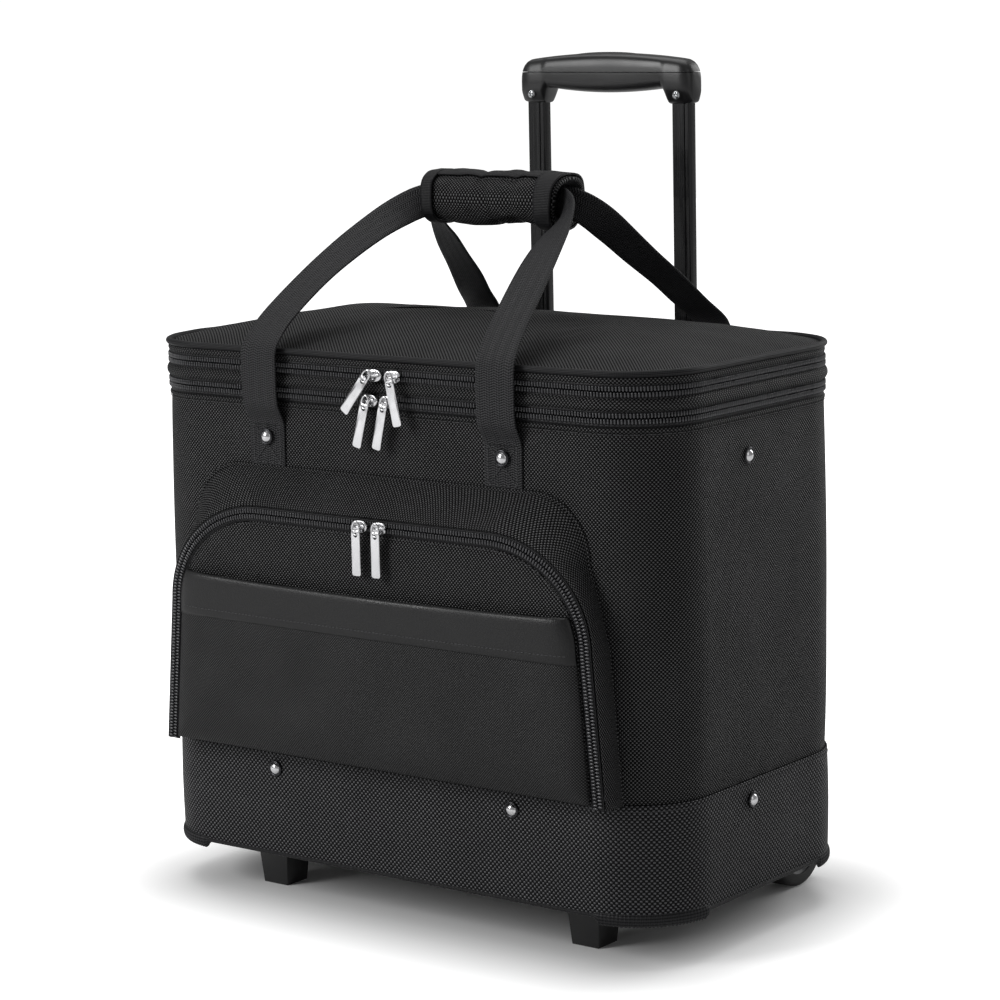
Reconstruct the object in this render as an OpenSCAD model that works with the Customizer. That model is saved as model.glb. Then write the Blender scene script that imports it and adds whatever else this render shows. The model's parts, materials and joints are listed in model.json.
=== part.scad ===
// Soft-sided pilot flight case on wheels with a telescopic trolley handle.
// Z is up, Y runs from the pocket side (negative) to the trolley side, and the feet stand on Z = 0.
// The bag's own heights are measured from its datum, a level a little above the ground.

/* [Bag body] */
// Width of the bag across its front
body_w = 450; // [400:5:480]
// Depth of the bag from front to back
body_d = 245; // [215:5:280]
// Radius of the upright corners
corner_r = 55; // [40:1:60]
// Height of the bag's datum above the ground
datum_z = 12; // [8:1:13]
// Height of the underside above the datum
ride_h = 22; // [20:1:24]
// Height of the top of the padded side walls
wall_top = 351.6; // [300:0.1:352]
// Thickness of the padded walls
wall_t = 5; // [3:0.5:8]
// Height of the seam at the top of the lower band
band_top = 101; // [80:1:130]
// Thickness of the lower band
band_t = 1.8; // [1:0.1:2.5]

/* [Lids] */
// Height of the teeth line of the lower zip
lower_zip_z = 358; // [357:0.5:360]
// Height of the teeth line of the upper zip
upper_zip_z = 375.5; // [375:0.5:377]
// Height of the edge of the top panel
lid_edge_z = 387; // [385:0.5:390]
// Rise of the top panel at its middle
crown_h = 19; // [10:1:25]

/* [Carry straps] */
// Width of the webbing
web_w = 32; // [25:1:40]
// Thickness of the webbing
web_t = 1.6; // [1.2:0.1:2]
// Distance of each strap from the middle of the bag
strap_x = 103; // [90:1:120]
// Height of the middle of the carry grip
grip_z = 486; // [470:1:500]
// Length of the padded grip
grip_l = 118; // [100:1:122]

/* [Front pocket] */
// How far the pocket stands out from the front wall
pocket_out = 17; // [14:1:20]
// Half width of the pocket at its bottom
pocket_half_w = 193; // [180:1:195]
// Height of the top of the pocket zip
pocket_top = 279; // [260:1:285]

/* [Trolley] */
// Distance of each trolley tube from the middle
tube_x = 65; // [55:1:75]
// Distance of the tube centres behind the back wall
tube_back = 31; // [30:0.5:33]
// Height of the underside of the trolley grip's sockets
socket_z = 547; // [540:1:600]
// Width of the trolley grip
trolley_w = 153; // [150:1:160]

/* [Running gear] */
// Radius of a wheel
wheel_r = 32; // [28:1:34]
// Width of a wheel
wheel_w = 22; // [18:1:24]
// Distance of each wheel from the middle
wheel_x = 175; // [160:1:178]
// Distance of each foot from the middle
foot_x = 139; // [110:1:150]

/* [Hidden] */
$fn = 64;

// The bag is set forward so that the whole case is centred on the origin.
body_y = -7.7;
front_y = -body_d / 2;
back_y = body_d / 2;
layer_gap = 0.2;

// Zips
tape_t = 1.2;
tape_h = 5.4;
coil_t = 1.2;
coil_h = 1.8;
coil_gap = 0.3;
zip_end_x = body_w / 2 - corner_r;

// Lids
lid_t = 4;
tray_floor_z = 359;
tray_floor_t = 3;

// Tubes: [width, depth] of the inner, middle and outer stage
inner_tube = [16.5, 8.5];
middle_tube = [19.5, 11.5];
outer_tube = [22.5, 14.5];
tube_wall = 1.2;
tube_y = back_y + tube_back;
outer_tube_z = [40, 369];
middle_tube_z = [46, 374];
inner_tube_z = [215, socket_z + 12];
bezel_z = [362, 371];
grip_depth = 22;
socket_w = 22;
top_sag = 5.5;
under_sag = 3;
grip_split_z = socket_z + 23;
grip_top_z = socket_z + 37;
bar_under_z = socket_z + 11;
button_size = [76, 9];
button_y = tube_y - 3;

// Wheels
wheel_y = back_y - 8;
axle_r = 3;
hub_r = 23;
hub_clearance = 0.05;
housing_size = [38, 44, 48];
housing_y0 = back_y - 46;

// Straps
front_strap_y = front_y - 8.5;
back_strap_y = back_y + 8.5;
front_fold_z = 390;
back_fold_z = 368;
back_corner_z = 392;
loop_x = 70;
loop_w = 10;
loop_h = 22;
front_loop_y = 12;
back_loop_y = 21;
tail_z = [305, 352];

// Pocket
pocket_back_y = front_y - 3.5;
pocket_zip_y = front_y - pocket_out;
pocket_base_z = 104;
shoulder_x = 100;
shoulder_z = 205;
shoulder_half_w = 184;
backing_half_w = 168;
backing_top = 305;
zip_inset = 5;
panel_inset = 10.2;
panel_t = 3;
slip_gap = 5;
slip_t = 1.5;
slip_top = 197;
trim_top = 229;

// Sliders: middle of each slider on the front, and the lean of each puller in degrees
slider_l = 14;
slider_h = 10;
slider_t = 2.4;
slider_gap = 1.1;
upper_crown_t = 4.3;
lower_crown_t = 2.4;
puller_l = 36;
puller_rise = 3;
ring_r = 4;
puller_w = 7;
puller_t = 1.4;
upper_slider_x = [-3.5, 13.5];
lower_slider_x = [-7.5, 8.5];
pocket_slider_x = [-5, 12];
upper_lean = [-38, 12];
lower_lean = [-15, -13];
pocket_lean = [0, 0];

module at_body() translate([0, body_y, datum_z]) children();

// Rectangle with round corners
module outline(w, d, r) {
    square([w - 2 * r, d], center = true);
    square([w, d - 2 * r], center = true);
    for (x = [-1, 1], y = [-1, 1])
        translate([x * (w / 2 - r), y * (d / 2 - r)]) circle(r);
}

// Upright wall that follows the bag's outline, set in by a distance and t thick
module ring(inset, t, z0, z1)
    translate([0, 0, z0]) linear_extrude(z1 - z0) difference() {
        outline(body_w - 2 * inset, body_d - 2 * inset, corner_r - inset);
        outline(body_w - 2 * (inset + t), body_d - 2 * (inset + t), corner_r - inset - t);
    }

module slab(inset, z0, z1)
    translate([0, 0, z0]) linear_extrude(z1 - z0)
        outline(body_w - 2 * inset, body_d - 2 * inset, corner_r - inset);

// Box from two opposite corners
module box(a, b) translate(a) cube(b - a);

// Space between the ends of the zips, along the back
module zip_open_back(z0, z1)
    box([-zip_end_x, 0, z0], [zip_end_x, body_d, z1]);

// Room for both wheel housings
module housing_space(grow)
    for (s = [-1, 1])
        translate([s * wheel_x - housing_size[0] / 2 - grow, housing_y0 - grow, 0])
            cube([housing_size[0] + 2 * grow, housing_size[1] * 2, ride_h + housing_size[2] + grow]);

module outer_cover() color("#1c1c1e") at_body() difference() {
    union() {
        ring(0, wall_t, ride_h + 2, wall_top);
        intersection() {
            ring(0, wall_t, wall_top, upper_zip_z - 0.7);
            box([2 - zip_end_x, 0, wall_top], [zip_end_x - 2, body_d, upper_zip_z]);
        }
    }
    housing_space(layer_gap);
}

module lining() color("#3a3a3d") at_body() difference() {
    union() {
        ring(wall_t, 1, ride_h + 5.5, wall_top - 2);
        slab(wall_t, ride_h + 4.6, ride_h + 5.5);
    }
    housing_space(2);
    screw_places() cylinder(r = 5, h = ride_h + 12);
}

module base_board() color("#5b4a38") at_body() difference() {
    slab(wall_t, ride_h + 2, ride_h + 4.6);
    housing_space(layer_gap);
    screw_places() cylinder(r = 1.75, h = ride_h + 12);
}

module base_pan() color("#161616") at_body() difference() {
    union() {
        slab(0, ride_h, ride_h + 2);
        for (x = [-200, -70, 70, 200])
            box([x - 5, -70, ride_h - 3], [x + 5, 70, ride_h]);
    }
    housing_space(layer_gap);
    screw_places() cylinder(r = 1.75, h = ride_h + 12);
}

module skirt_band() color("#2b2b2d") at_body() difference() {
    translate([0, 0, ride_h]) linear_extrude(band_top - ride_h) difference() {
        outline(body_w + 2 * band_t, body_d + 2 * band_t, corner_r + band_t);
        outline(body_w, body_d, corner_r);
    }
    housing_space(layer_gap);
}

module bottom_binding() color("#141414") at_body() difference() {
    translate([0, 0, ride_h - 2]) linear_extrude(2) difference() {
        outline(body_w + 2 * band_t, body_d + 2 * band_t, corner_r + band_t);
        outline(body_w - 8, body_d - 8, corner_r - 4);
    }
    housing_space(layer_gap);
}

// Middles of the screws that hold the feet
module screw_places() for (x = [-1, 1]) translate([x * foot_x, front_y + 44, 0]) children();

module foot() {
    intersection() {
        rotate([90, 0, 0]) linear_extrude(80, center = true)
            polygon([[-11, -datum_z], [11, -datum_z], [14, ride_h], [-14, ride_h]]);
        rotate([90, 0, 90]) linear_extrude(80, center = true)
            polygon([[-11, -datum_z], [11, -datum_z], [14, ride_h], [-14, ride_h]]);
    }
}

module front_feet() color("#1a1a1a") at_body() difference() {
    screw_places() foot();
    screw_places() translate([0, 0, -datum_z - 1]) cylinder(r = 4.5, h = ride_h + datum_z - 4);
    screw_places() cylinder(r = 1.75, h = ride_h + 1);
}

module base_screws() color("silver") at_body() screw_places() {
    translate([0, 0, ride_h - 8]) cylinder(r = 3.5, h = 3);
    translate([0, 0, ride_h - 5]) cylinder(r = 1.7, h = 11);
    translate([0, 0, ride_h + 6]) cylinder(r = 4, h = 2.4, $fn = 6);
}

module wheel_places(s) translate([s * wheel_x, wheel_y, wheel_r - datum_z]) children();

module wheel_housings() color("#191919") at_body() for (s = [-1, 1]) difference() {
    union() {
        translate([s * wheel_x - housing_size[0] / 2, housing_y0, ride_h - 2])
            cube([housing_size[0], housing_size[1], housing_size[2] + 2]);
        wheel_places(s) rotate([0, 90, 0]) cylinder(r = 13, h = housing_size[0], center = true);
    }
    wheel_places(s) rotate([0, 90, 0]) cylinder(r = wheel_r + 4, h = wheel_w + 4, center = true);
    wheel_places(s) translate([-wheel_w / 2 - 2, 0, -wheel_r]) cube([wheel_w + 4, 60, wheel_r]);
    wheel_places(s) rotate([0, 90, 0]) cylinder(r = axle_r, h = housing_size[0] + 2, center = true);
}

module wheel_axles() color("silver") at_body() for (s = [-1, 1])
    wheel_places(s) rotate([0, 90, 0]) cylinder(r = axle_r, h = housing_size[0], center = true);

module tyre(s) at_body() wheel_places(s) rotate([0, 90, 0]) rotate_extrude() difference() {
    translate([hub_r, -wheel_w / 2]) square([wheel_r - hub_r, wheel_w]);
    for (y = [-1, 1]) translate([wheel_r, y * wheel_w / 2]) rotate(45) square(5, center = true);
}

module hub(s) at_body() wheel_places(s) rotate([0, 90, 0]) rotate_extrude() difference() {
    translate([axle_r + hub_clearance, 0]) polygon([
        [0, -wheel_w / 2], [5, -wheel_w / 2], [7, -wheel_w / 2 + 4],
        [hub_r - axle_r - 5, -wheel_w / 2 + 4], [hub_r - axle_r - hub_clearance, -wheel_w / 2 + 1],
        [hub_r - axle_r - hub_clearance, wheel_w / 2 - 1], [hub_r - axle_r - 5, wheel_w / 2 - 4],
        [7, wheel_w / 2 - 4], [5, wheel_w / 2], [0, wheel_w / 2]]);
}

module wheel_left_tyre() color("#222222") tyre(-1);
module wheel_left_hub() color("#3c3c3e") hub(-1);
module wheel_right_tyre() color("#222222") tyre(1);
module wheel_right_hub() color("#3c3c3e") hub(1);

module tube_places() for (s = [-1, 1]) translate([s * tube_x, tube_y, 0]) children();

module tube(size, span, wall) translate([0, 0, span[0]]) linear_extrude(span[1] - span[0])
    difference() {
        tube_section(size, 2.5);
        tube_section(size - 2 * [wall, wall], 1.5);
    }

module tube_section(size, r) {
    square([size[0] - 2 * r, size[1]], center = true);
    square([size[0], size[1] - 2 * r], center = true);
    for (x = [-1, 1], y = [-1, 1])
        translate([x * (size[0] / 2 - r), y * (size[1] / 2 - r)]) circle(r);
}

sleeve_half_w = 85;
sleeve_back_y = tube_y + 11;

module trolley_sleeve() color("#1e1e20") at_body() difference() {
    box([-sleeve_half_w, back_y + band_t + layer_gap, 60],
        [sleeve_half_w, sleeve_back_y, bezel_z[0] - 0.5]);
    box([2 - sleeve_half_w, back_y + band_t + 2, 50], [sleeve_half_w - 2, sleeve_back_y - 2, bezel_z[1]]);
}

module trolley_outer_tubes() color("#0d0d0e") at_body() tube_places()
    tube(outer_tube, outer_tube_z, tube_wall);

module trolley_top_bezel() color("#151515") at_body() difference() {
    box([-sleeve_half_w + 2.5, back_y + 3.5, bezel_z[0]], [sleeve_half_w - 2.5, sleeve_back_y, bezel_z[1]]);
    tube_places() translate([0, 0, bezel_z[0] - 1]) linear_extrude(20) tube_section(outer_tube, 2.5);
    box([-tube_x + 18, back_y + 10, bezel_z[0] - 1], [tube_x - 18, sleeve_back_y - 4, bezel_z[0] + 5]);
}

module trolley_base_bracket() color("#151515") at_body() difference() {
    box([-sleeve_half_w, back_y + band_t + layer_gap, 30], [sleeve_half_w, sleeve_back_y, 58]);
    tube_places() translate([0, 0, outer_tube_z[0]]) linear_extrude(40) tube_section(outer_tube, 2.5);
    box([-tube_x + 20, back_y + 12, 20], [tube_x - 20, sleeve_back_y - 5, 70]);
}

module trolley_middle_tubes() color("#101011") at_body() tube_places()
    tube(middle_tube, middle_tube_z, tube_wall);

// Collar at the top of each middle tube, resting on the outer tube
module middle_tube_bushes() color("#1a1a1a") at_body() tube_places() difference() {
    translate([0, 0, outer_tube_z[1] + 2.2]) linear_extrude(6) tube_section(outer_tube, 3);
    translate([0, 0, outer_tube_z[1]]) linear_extrude(12) tube_section(inner_tube + [0.6, 0.6], 2.5);
    translate([0, 0, outer_tube_z[1]]) linear_extrude(middle_tube_z[1] - outer_tube_z[1])
        tube_section(middle_tube, 2.5);
}

module trolley_inner_tubes() color("#0c0c0d") at_body() tube_places()
    tube(inner_tube, inner_tube_z, 1);

// Plastic plug in the foot of each inner tube, with the bore for its release rod
module inner_tube_bushes() color("#222222") at_body() tube_places() difference() {
    translate([0, 0, inner_tube_z[0] - 6]) linear_extrude(6) tube_section(inner_tube, 2.5);
    translate([0, 0, inner_tube_z[0] - 7]) cylinder(r = 1.6, h = 20);
}

// Side view of the trolley grip: a bar with a round end over each tube
module grip_shape(z0, z1) intersection() {
    union() {
        translate([-trolley_w / 2 + 12, bar_under_z]) square([trolley_w - 24, grip_top_z - bar_under_z]);
        for (s = [-1, 1]) {
            translate([s * (trolley_w - socket_w) / 2 - socket_w / 2, socket_z])
                square([socket_w, grip_top_z - socket_z - 16]);
            translate([s * (trolley_w / 2 - 12), grip_top_z - 16]) circle(12);
        }
        intersection() {
            translate([0, bar_under_z - under_sag + arc_r(48, under_sag)])
                circle(arc_r(48, under_sag), $fn = 360);
            translate([-48, bar_under_z - under_sag]) square([96, 10]);
        }
    }
    under_arch(grip_top_z);
    translate([-trolley_w, z0]) square([trolley_w * 2, z1 - z0]);
}

// All below the gentle arch of the grip's top, which is at height z in the middle
module under_arch(z) translate([0, z - arc_r(trolley_w / 2, top_sag)])
    circle(arc_r(trolley_w / 2, top_sag), $fn = 720);

// Radius of an arc over half a chord, with a rise at its middle
function arc_r(half, rise) = (half * half + rise * rise) / (2 * rise);

module grip_half(z0, z1) intersection() {
    translate([0, tube_y + grip_depth / 2, 0]) rotate([90, 0, 0])
        linear_extrude(grip_depth) grip_shape(z0, z1);
    translate([0, tube_y, 0]) linear_extrude(1000) tube_section([trolley_w, grip_depth], 10);
}

module button_well(grow) translate([0, button_y, 0]) linear_extrude(1000)
    tube_section(button_size + [grow, grow], button_size[1] / 2 - 0.5);

module grip_lower_shell() color("#171717") at_body() difference() {
    grip_half(socket_z, grip_split_z);
    tube_places() translate([0, 0, socket_z - 1]) linear_extrude(13) tube_section(inner_tube, 2.5);
    box([-trolley_w / 2 + 6, tube_y - 8, bar_under_z + 2], [trolley_w / 2 - 6, tube_y + 8, grip_top_z]);
    tube_places() cylinder(r = 1.6, h = 1000);
    for (s = [-1, 1]) translate([s * tube_x, tube_y - grip_depth / 2 - 5, socket_z + 7]) rotate([-90, 0, 0]) {
        cylinder(r = 1.5, h = 12);
        cylinder(r = 3.1, h = 6.9);
    }
}

module grip_upper_shell() color("#171717") at_body() difference() {
    grip_half(grip_split_z + 0.1, grip_top_z);
    box([-trolley_w / 2 + 6, tube_y - 8, grip_split_z - 1],
        [trolley_w / 2 - 6, tube_y + 8, grip_top_z - 8]);
    translate([0, 0, grip_split_z - 10]) button_well(0.8);
}

module grip_screws() color("silver") at_body() for (s = [-1, 1])
    translate([s * tube_x, tube_y - grip_depth / 2, socket_z + 7]) rotate([-90, 0, 0]) {
        translate([0, 0, 0.5]) cylinder(r = 3, h = 1.4);
        translate([0, 0, 1.9]) cylinder(r = 1.45, h = 4.6);
    }

module release_button() color("#0e0e0e") at_body() {
    intersection() {
        button_well(0);
        box([-60, 0, grip_top_z - 8], [60, 400, grip_top_z + 1]);
        translate([0, 400, 0]) rotate([90, 0, 0]) linear_extrude(400) under_arch(grip_top_z + 1);
    }
    box([-tube_x - 3, tube_y - 4, grip_top_z - 12], [tube_x + 3, tube_y + 4, grip_top_z - 9.4]);
    box([-10, button_y - 2, grip_top_z - 9.4], [10, button_y + 2, grip_top_z - 8]);
}

// Rods from the button to the locks at the foot of the inner tubes
module release_rods() color("silver") at_body() tube_places()
    translate([0, 0, inner_tube_z[0] - 4]) cylinder(r = 1.5, h = grip_top_z - 12 - inner_tube_z[0] + 4);

// Round wire wound into a coil: rings of the wire's section along a helix
module coil(r, wire, turns, h, sides = 6, steps = 12) {
    n = steps * turns;
    points = [for (k = [0:n], j = [0:sides - 1])
        let (turn = k * 360 / steps, a = j * 360 / sides)
            [(r + wire * cos(a)) * cos(turn), (r + wire * cos(a)) * sin(turn), h * k / n + wire * sin(a)]];
    walls = [for (k = [0:n - 1], j = [0:sides - 1]) let (m = (j + 1) % sides)
        [k * sides + j, (k + 1) * sides + j, (k + 1) * sides + m, k * sides + m]];
    ends = [[for (j = [0:sides - 1]) j], [for (j = [0:sides - 1]) n * sides + sides - 1 - j]];
    polyhedron(points, concat(walls, ends));
}

module button_spring() color("silver") at_body()
    translate([0, tube_y, bar_under_z + 2.6]) coil(3.2, 0.5, 3, grip_top_z - 12 - bar_under_z - 3.2);

// One half of a zip: the woven tape and the row of coil teeth on its edge.
// side is +1 where the tape rises from the teeth and -1 where it hangs below them.
module zip_half(z, side) {
    coil_z = z + side * (coil_gap + (side < 0 ? coil_h : 0));
    tape_z = z + side * (coil_gap + 0.5 + (side < 0 ? tape_h : 0));
    difference() {
        union() {
            ring(0, tape_t, tape_z, tape_z + tape_h);
            ring(-coil_t, coil_t, coil_z, coil_z + coil_h);
        }
        zip_open_back(z - 20, z + 20);
    }
}

module lower_zip_body_half() color("#101010") at_body() zip_half(lower_zip_z, -1);
module upper_zip_lid_half() color("#101010") at_body() zip_half(upper_zip_z, 1);
module tray_zip_halves() color("#101010") at_body() {
    zip_half(lower_zip_z, 1);
    zip_half(upper_zip_z, -1);
}

// Low wall of the flat lid compartment, open along the back
module tray_wall() color("#1c1c1e") at_body() difference() {
    ring(tape_t + 0.1, lid_t, lower_zip_z + 1.2, upper_zip_z - 1.2);
    zip_open_back(lower_zip_z, upper_zip_z);
}

module tray_floor() color("#2a2a2c") at_body() intersection() {
    slab(tape_t + lid_t + 0.1, tray_floor_z + 0.2, tray_floor_z + tray_floor_t);
    box([-body_w, -body_d, 0], [body_w, back_y - wall_t - 2, 400]);
}

// Crowned panel: the overlap of the outline with two large barrels
module lid_top_panel() color("#1c1c1e") at_body() {
    slab(tape_t + 0.2, upper_zip_z + 0.4, lid_edge_z - 5);
    intersection() {
        slab(0, lid_edge_z - 5, lid_edge_z + crown_h);
        barrel(body_d / 2, [0, 90, 0], body_w);
        barrel(body_w / 2, [90, 0, 0], body_d);
    }
}

module barrel(half, turn, l) {
    r = arc_r(half, crown_h);
    translate([0, 0, lid_edge_z + crown_h - r]) rotate(turn)
        cylinder(r = r, h = l + 2, center = true, $fn = 720);
}

module lid_piping() color("#131313") at_body() ring(-3, 3, lid_edge_z - 2.5, lid_edge_z + 2.5);

// Webbing between two places, each [middle, width, height, thickness]
module web_run(a, b) hull() {
    translate(a[0]) cube([a[1], a[3], a[2]], center = true);
    translate(b[0]) cube([b[1], b[3], b[2]], center = true);
}

// Sewn tail on the front wall, and the free run that stands off the zips
module front_strap_tails() color("#121213") at_body() for (s = [-1, 1]) {
    box([s * strap_x - web_w / 2, front_y - web_t - 0.1, tail_z[0]],
        [s * strap_x + web_w / 2, front_y - 0.1, 338]);
    web_run([[s * strap_x, front_y - web_t / 2 - 0.1, 337], web_w, 2, web_t],
            [[s * strap_x, front_strap_y, 350], web_w, 2, web_t]);
    box([s * strap_x - web_w / 2, front_strap_y - web_t / 2, 350],
        [s * strap_x + web_w / 2, front_strap_y + web_t / 2, front_fold_z - 1]);
}

module back_strap_tails() color("#121213") at_body() for (s = [-1, 1]) {
    box([s * strap_x - web_w / 2, back_y + 0.1, tail_z[0]],
        [s * strap_x + web_w / 2, back_y + web_t + 0.1, 342]);
    web_run([[s * strap_x, back_y + web_t / 2 + 0.1, 341], web_w, 2, web_t],
            [[s * strap_x, back_strap_y, back_fold_z - 3], web_w, 4, web_t]);
}

module front_handle_webbing() color("#121213") at_body() {
    for (s = [-1, 1])
        web_run([[s * strap_x, front_strap_y, front_fold_z + 1], web_w, 1, web_t],
                [[s * (loop_x - loop_w / 2), front_loop_y, grip_z], loop_w, 2, web_t]);
    translate([0, front_loop_y, grip_z]) cube([loop_x * 2, web_t, loop_h], center = true);
}

module back_handle_webbing() color("#121213") at_body() {
    for (s = [-1, 1]) {
        web_run([[s * strap_x, back_strap_y, back_fold_z + 1], web_w, 1, web_t],
                [[s * strap_x, back_strap_y, back_corner_z], web_w, 1, web_t]);
        web_run([[s * strap_x, back_strap_y, back_corner_z], web_w, 1, web_t],
                [[s * (loop_x - loop_w / 2), back_loop_y, grip_z], loop_w, 2, web_t]);
    }
    translate([0, back_loop_y, grip_z]) cube([loop_x * 2, web_t, loop_h], center = true);
}

module grip_wrap() color("#18181a") at_body()
    translate([-grip_l / 2, (front_loop_y + back_loop_y) / 2, grip_z]) rotate([90, 0, 90])
        linear_extrude(grip_l) difference() {
            tube_section([34, 36], 15);
            tube_section([22, 27], 8);
        }

// Dome-headed rivet on a face whose outward direction is along turn
module rivet(place, turn) translate(place) rotate(turn) intersection() {
    cylinder(r = 5.5, h = 3);
    translate([0, 0, -4.5]) sphere(r = 7.3);
}

module dome_rivets() color("silver") at_body() {
    for (s = [-1, 1]) {
        rivet([s * strap_x, front_y - web_t - 0.1, 326.5], [90, 0, 0]);
        rivet([s * (strap_x + 2), front_y - band_t, 87], [90, 0, 0]);
        rivet([s * strap_x, back_y + web_t + 0.1, 326.5], [-90, 0, 0]);
        rivet([s * body_w / 2, -15, 323], [0, s * 90, 0]);
        rivet([s * (body_w / 2 + band_t), -15, 87], [0, s * 90, 0]);
    }
}

// Outline of the pocket as seen from the front: straight sides and elliptic shoulders
function pocket_points(i) = let (n = 12) concat(
    [[pocket_half_w - i, pocket_base_z]],
    [for (k = [0:n]) let (a = k * 90 / n)
        [shoulder_x + (shoulder_half_w - shoulder_x - i) * cos(a),
         shoulder_z + (pocket_top - shoulder_z - i) * sin(a)]],
    [for (k = [0:n]) let (a = 90 + k * 90 / n)
        [-shoulder_x + (shoulder_half_w - shoulder_x - i) * cos(a),
         shoulder_z + (pocket_top - shoulder_z - i) * sin(a)]],
    [[-pocket_half_w + i, pocket_base_z]]);

module pocket_plate(i, y_front, y_rear) translate([0, y_rear, 0]) rotate([90, 0, 0])
    linear_extrude(y_rear - y_front) polygon(pocket_points(i));

// Same outline without the strip at the bottom where the panel is sewn down
module above(z) intersection() {
    children();
    box([-300, -300, z], [300, 300, 400]);
}

module pocket_gusset() color("#1d1d1f") at_body() difference() {
    union() {
        pocket_plate(0, pocket_zip_y + 0.1, front_y + 20);
        translate([0, front_y + 1, 0]) rotate([90, 0, 0]) linear_extrude(4.5) {
            translate([-backing_half_w, pocket_base_z])
                square([2 * backing_half_w, backing_top - 40 - pocket_base_z]);
            translate([40 - backing_half_w, backing_top - 41]) square([2 * backing_half_w - 80, 41]);
            for (s = [-1, 1]) translate([s * (backing_half_w - 40), backing_top - 40]) circle(40);
        }
    }
    above(pocket_base_z + 3) pocket_plate(9, pocket_zip_y - 2, pocket_back_y);
    slab(-0.1, 0, 400);
}

module pocket_zip_outer_half() color("#101010") at_body() difference() {
    above(pocket_base_z + 2) pocket_plate(0.5, pocket_zip_y - 1.4, pocket_zip_y);
    pocket_plate(zip_inset - 0.2, pocket_zip_y - 3, pocket_zip_y + 1);
}

module pocket_zip_inner_half() color("#101010") at_body() difference() {
    above(pocket_base_z + 2) pocket_plate(zip_inset + 0.2, pocket_zip_y - 1.4, pocket_zip_y);
    pocket_plate(panel_inset - 0.1, pocket_zip_y - 3, pocket_zip_y + 1);
}

module pocket_panel() color("#1c1c1e") at_body()
    above(pocket_base_z + 1) pocket_plate(panel_inset, pocket_zip_y - panel_t, pocket_zip_y);

slip_y = pocket_zip_y - panel_t;

module slip_pocket_panel() color("#1a1a1c") at_body() intersection() {
    difference() {
        pocket_plate(panel_inset + 1, slip_y - slip_gap - slip_t, slip_y);
        pocket_plate(panel_inset + 2.5, slip_y - slip_gap, slip_y + 1);
    }
    box([-300, -300, pocket_base_z + 1], [300, 0, slip_top]);
}

module trim_band() color("#19191a") at_body() intersection() {
    difference() {
        pocket_plate(panel_inset + 1, slip_y - slip_gap - slip_t, slip_y);
        pocket_plate(panel_inset + 2.5, slip_y - slip_gap, slip_y + 1);
    }
    box([-300, -300, slip_top], [300, 0, trim_top]);
}

// Zip slider with its crown, lying along X in front of a zip; y is the face of the teeth
module slider(x, y, z, crown_t) color("#d8d8da") at_body() translate([x, y - slider_gap, z]) {
    rotate([90, 0, 0]) linear_extrude(slider_t) tube_section([slider_l, slider_h], 3);
    translate([0, -slider_t - crown_t / 2, 0]) cube([5, crown_t, 3], center = true);
}

// Flat pull tab that hangs from the slider's crown and leans in the plane of the face
module puller(x, y, z, lean, crown_t) color("#d2d2d4") at_body()
    translate([x, y - slider_gap - slider_t - crown_t - 0.3, z + puller_rise]) rotate([0, -lean, 0])
        rotate([90, 0, 0]) linear_extrude(puller_t) difference() {
            union() {
                translate([0, -ring_r]) circle(ring_r);
                translate([-puller_w / 2, -puller_l]) square([puller_w, puller_l - ring_r]);
            }
            translate([0, -ring_r]) circle(ring_r / 2);
        }

module slider_upper_left() slider(upper_slider_x[0], front_y - coil_t, upper_zip_z, upper_crown_t);
module slider_upper_right() slider(upper_slider_x[1], front_y - coil_t, upper_zip_z, upper_crown_t);
module slider_lower_left() slider(lower_slider_x[0], front_y - coil_t, lower_zip_z, lower_crown_t);
module slider_lower_right() slider(lower_slider_x[1], front_y - coil_t, lower_zip_z, lower_crown_t);
module slider_pocket_left()
    slider(pocket_slider_x[0], pocket_zip_y - 2, pocket_top - zip_inset, lower_crown_t);
module slider_pocket_right()
    slider(pocket_slider_x[1], pocket_zip_y - 2, pocket_top - zip_inset, lower_crown_t);
module puller_upper_left()
    puller(upper_slider_x[0], front_y - coil_t, upper_zip_z, upper_lean[0], upper_crown_t);
module puller_upper_right()
    puller(upper_slider_x[1], front_y - coil_t, upper_zip_z, upper_lean[1], upper_crown_t);
module puller_lower_left()
    puller(lower_slider_x[0], front_y - coil_t, lower_zip_z, lower_lean[0], lower_crown_t);
module puller_lower_right()
    puller(lower_slider_x[1], front_y - coil_t, lower_zip_z, lower_lean[1], lower_crown_t);
module puller_pocket_left()
    puller(pocket_slider_x[0], pocket_zip_y - 2, pocket_top - zip_inset, pocket_lean[0], lower_crown_t);
module puller_pocket_right()
    puller(pocket_slider_x[1], pocket_zip_y - 2, pocket_top - zip_inset, pocket_lean[1], lower_crown_t);

outer_cover();
lining();
base_board();
base_pan();
skirt_band();
bottom_binding();
front_feet();
base_screws();
wheel_housings();
wheel_axles();
wheel_left_tyre();
wheel_left_hub();
wheel_right_tyre();
wheel_right_hub();
trolley_sleeve();
trolley_outer_tubes();
trolley_top_bezel();
trolley_base_bracket();
trolley_middle_tubes();
middle_tube_bushes();
trolley_inner_tubes();
inner_tube_bushes();
grip_lower_shell();
grip_upper_shell();
grip_screws();
button_spring();
release_button();
release_rods();
lower_zip_body_half();
tray_zip_halves();
upper_zip_lid_half();
tray_wall();
tray_floor();
lid_top_panel();
lid_piping();
front_strap_tails();
back_strap_tails();
dome_rivets();
front_handle_webbing();
grip_wrap();
back_handle_webbing();
pocket_gusset();
pocket_zip_outer_half();
pocket_zip_inner_half();
pocket_panel();
slip_pocket_panel();
trim_band();
slider_upper_left();
slider_upper_right();
slider_lower_left();
slider_lower_right();
slider_pocket_left();
slider_pocket_right();
puller_upper_left();
puller_upper_right();
puller_lower_left();
puller_lower_right();
puller_pocket_left();
puller_pocket_right();
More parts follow.
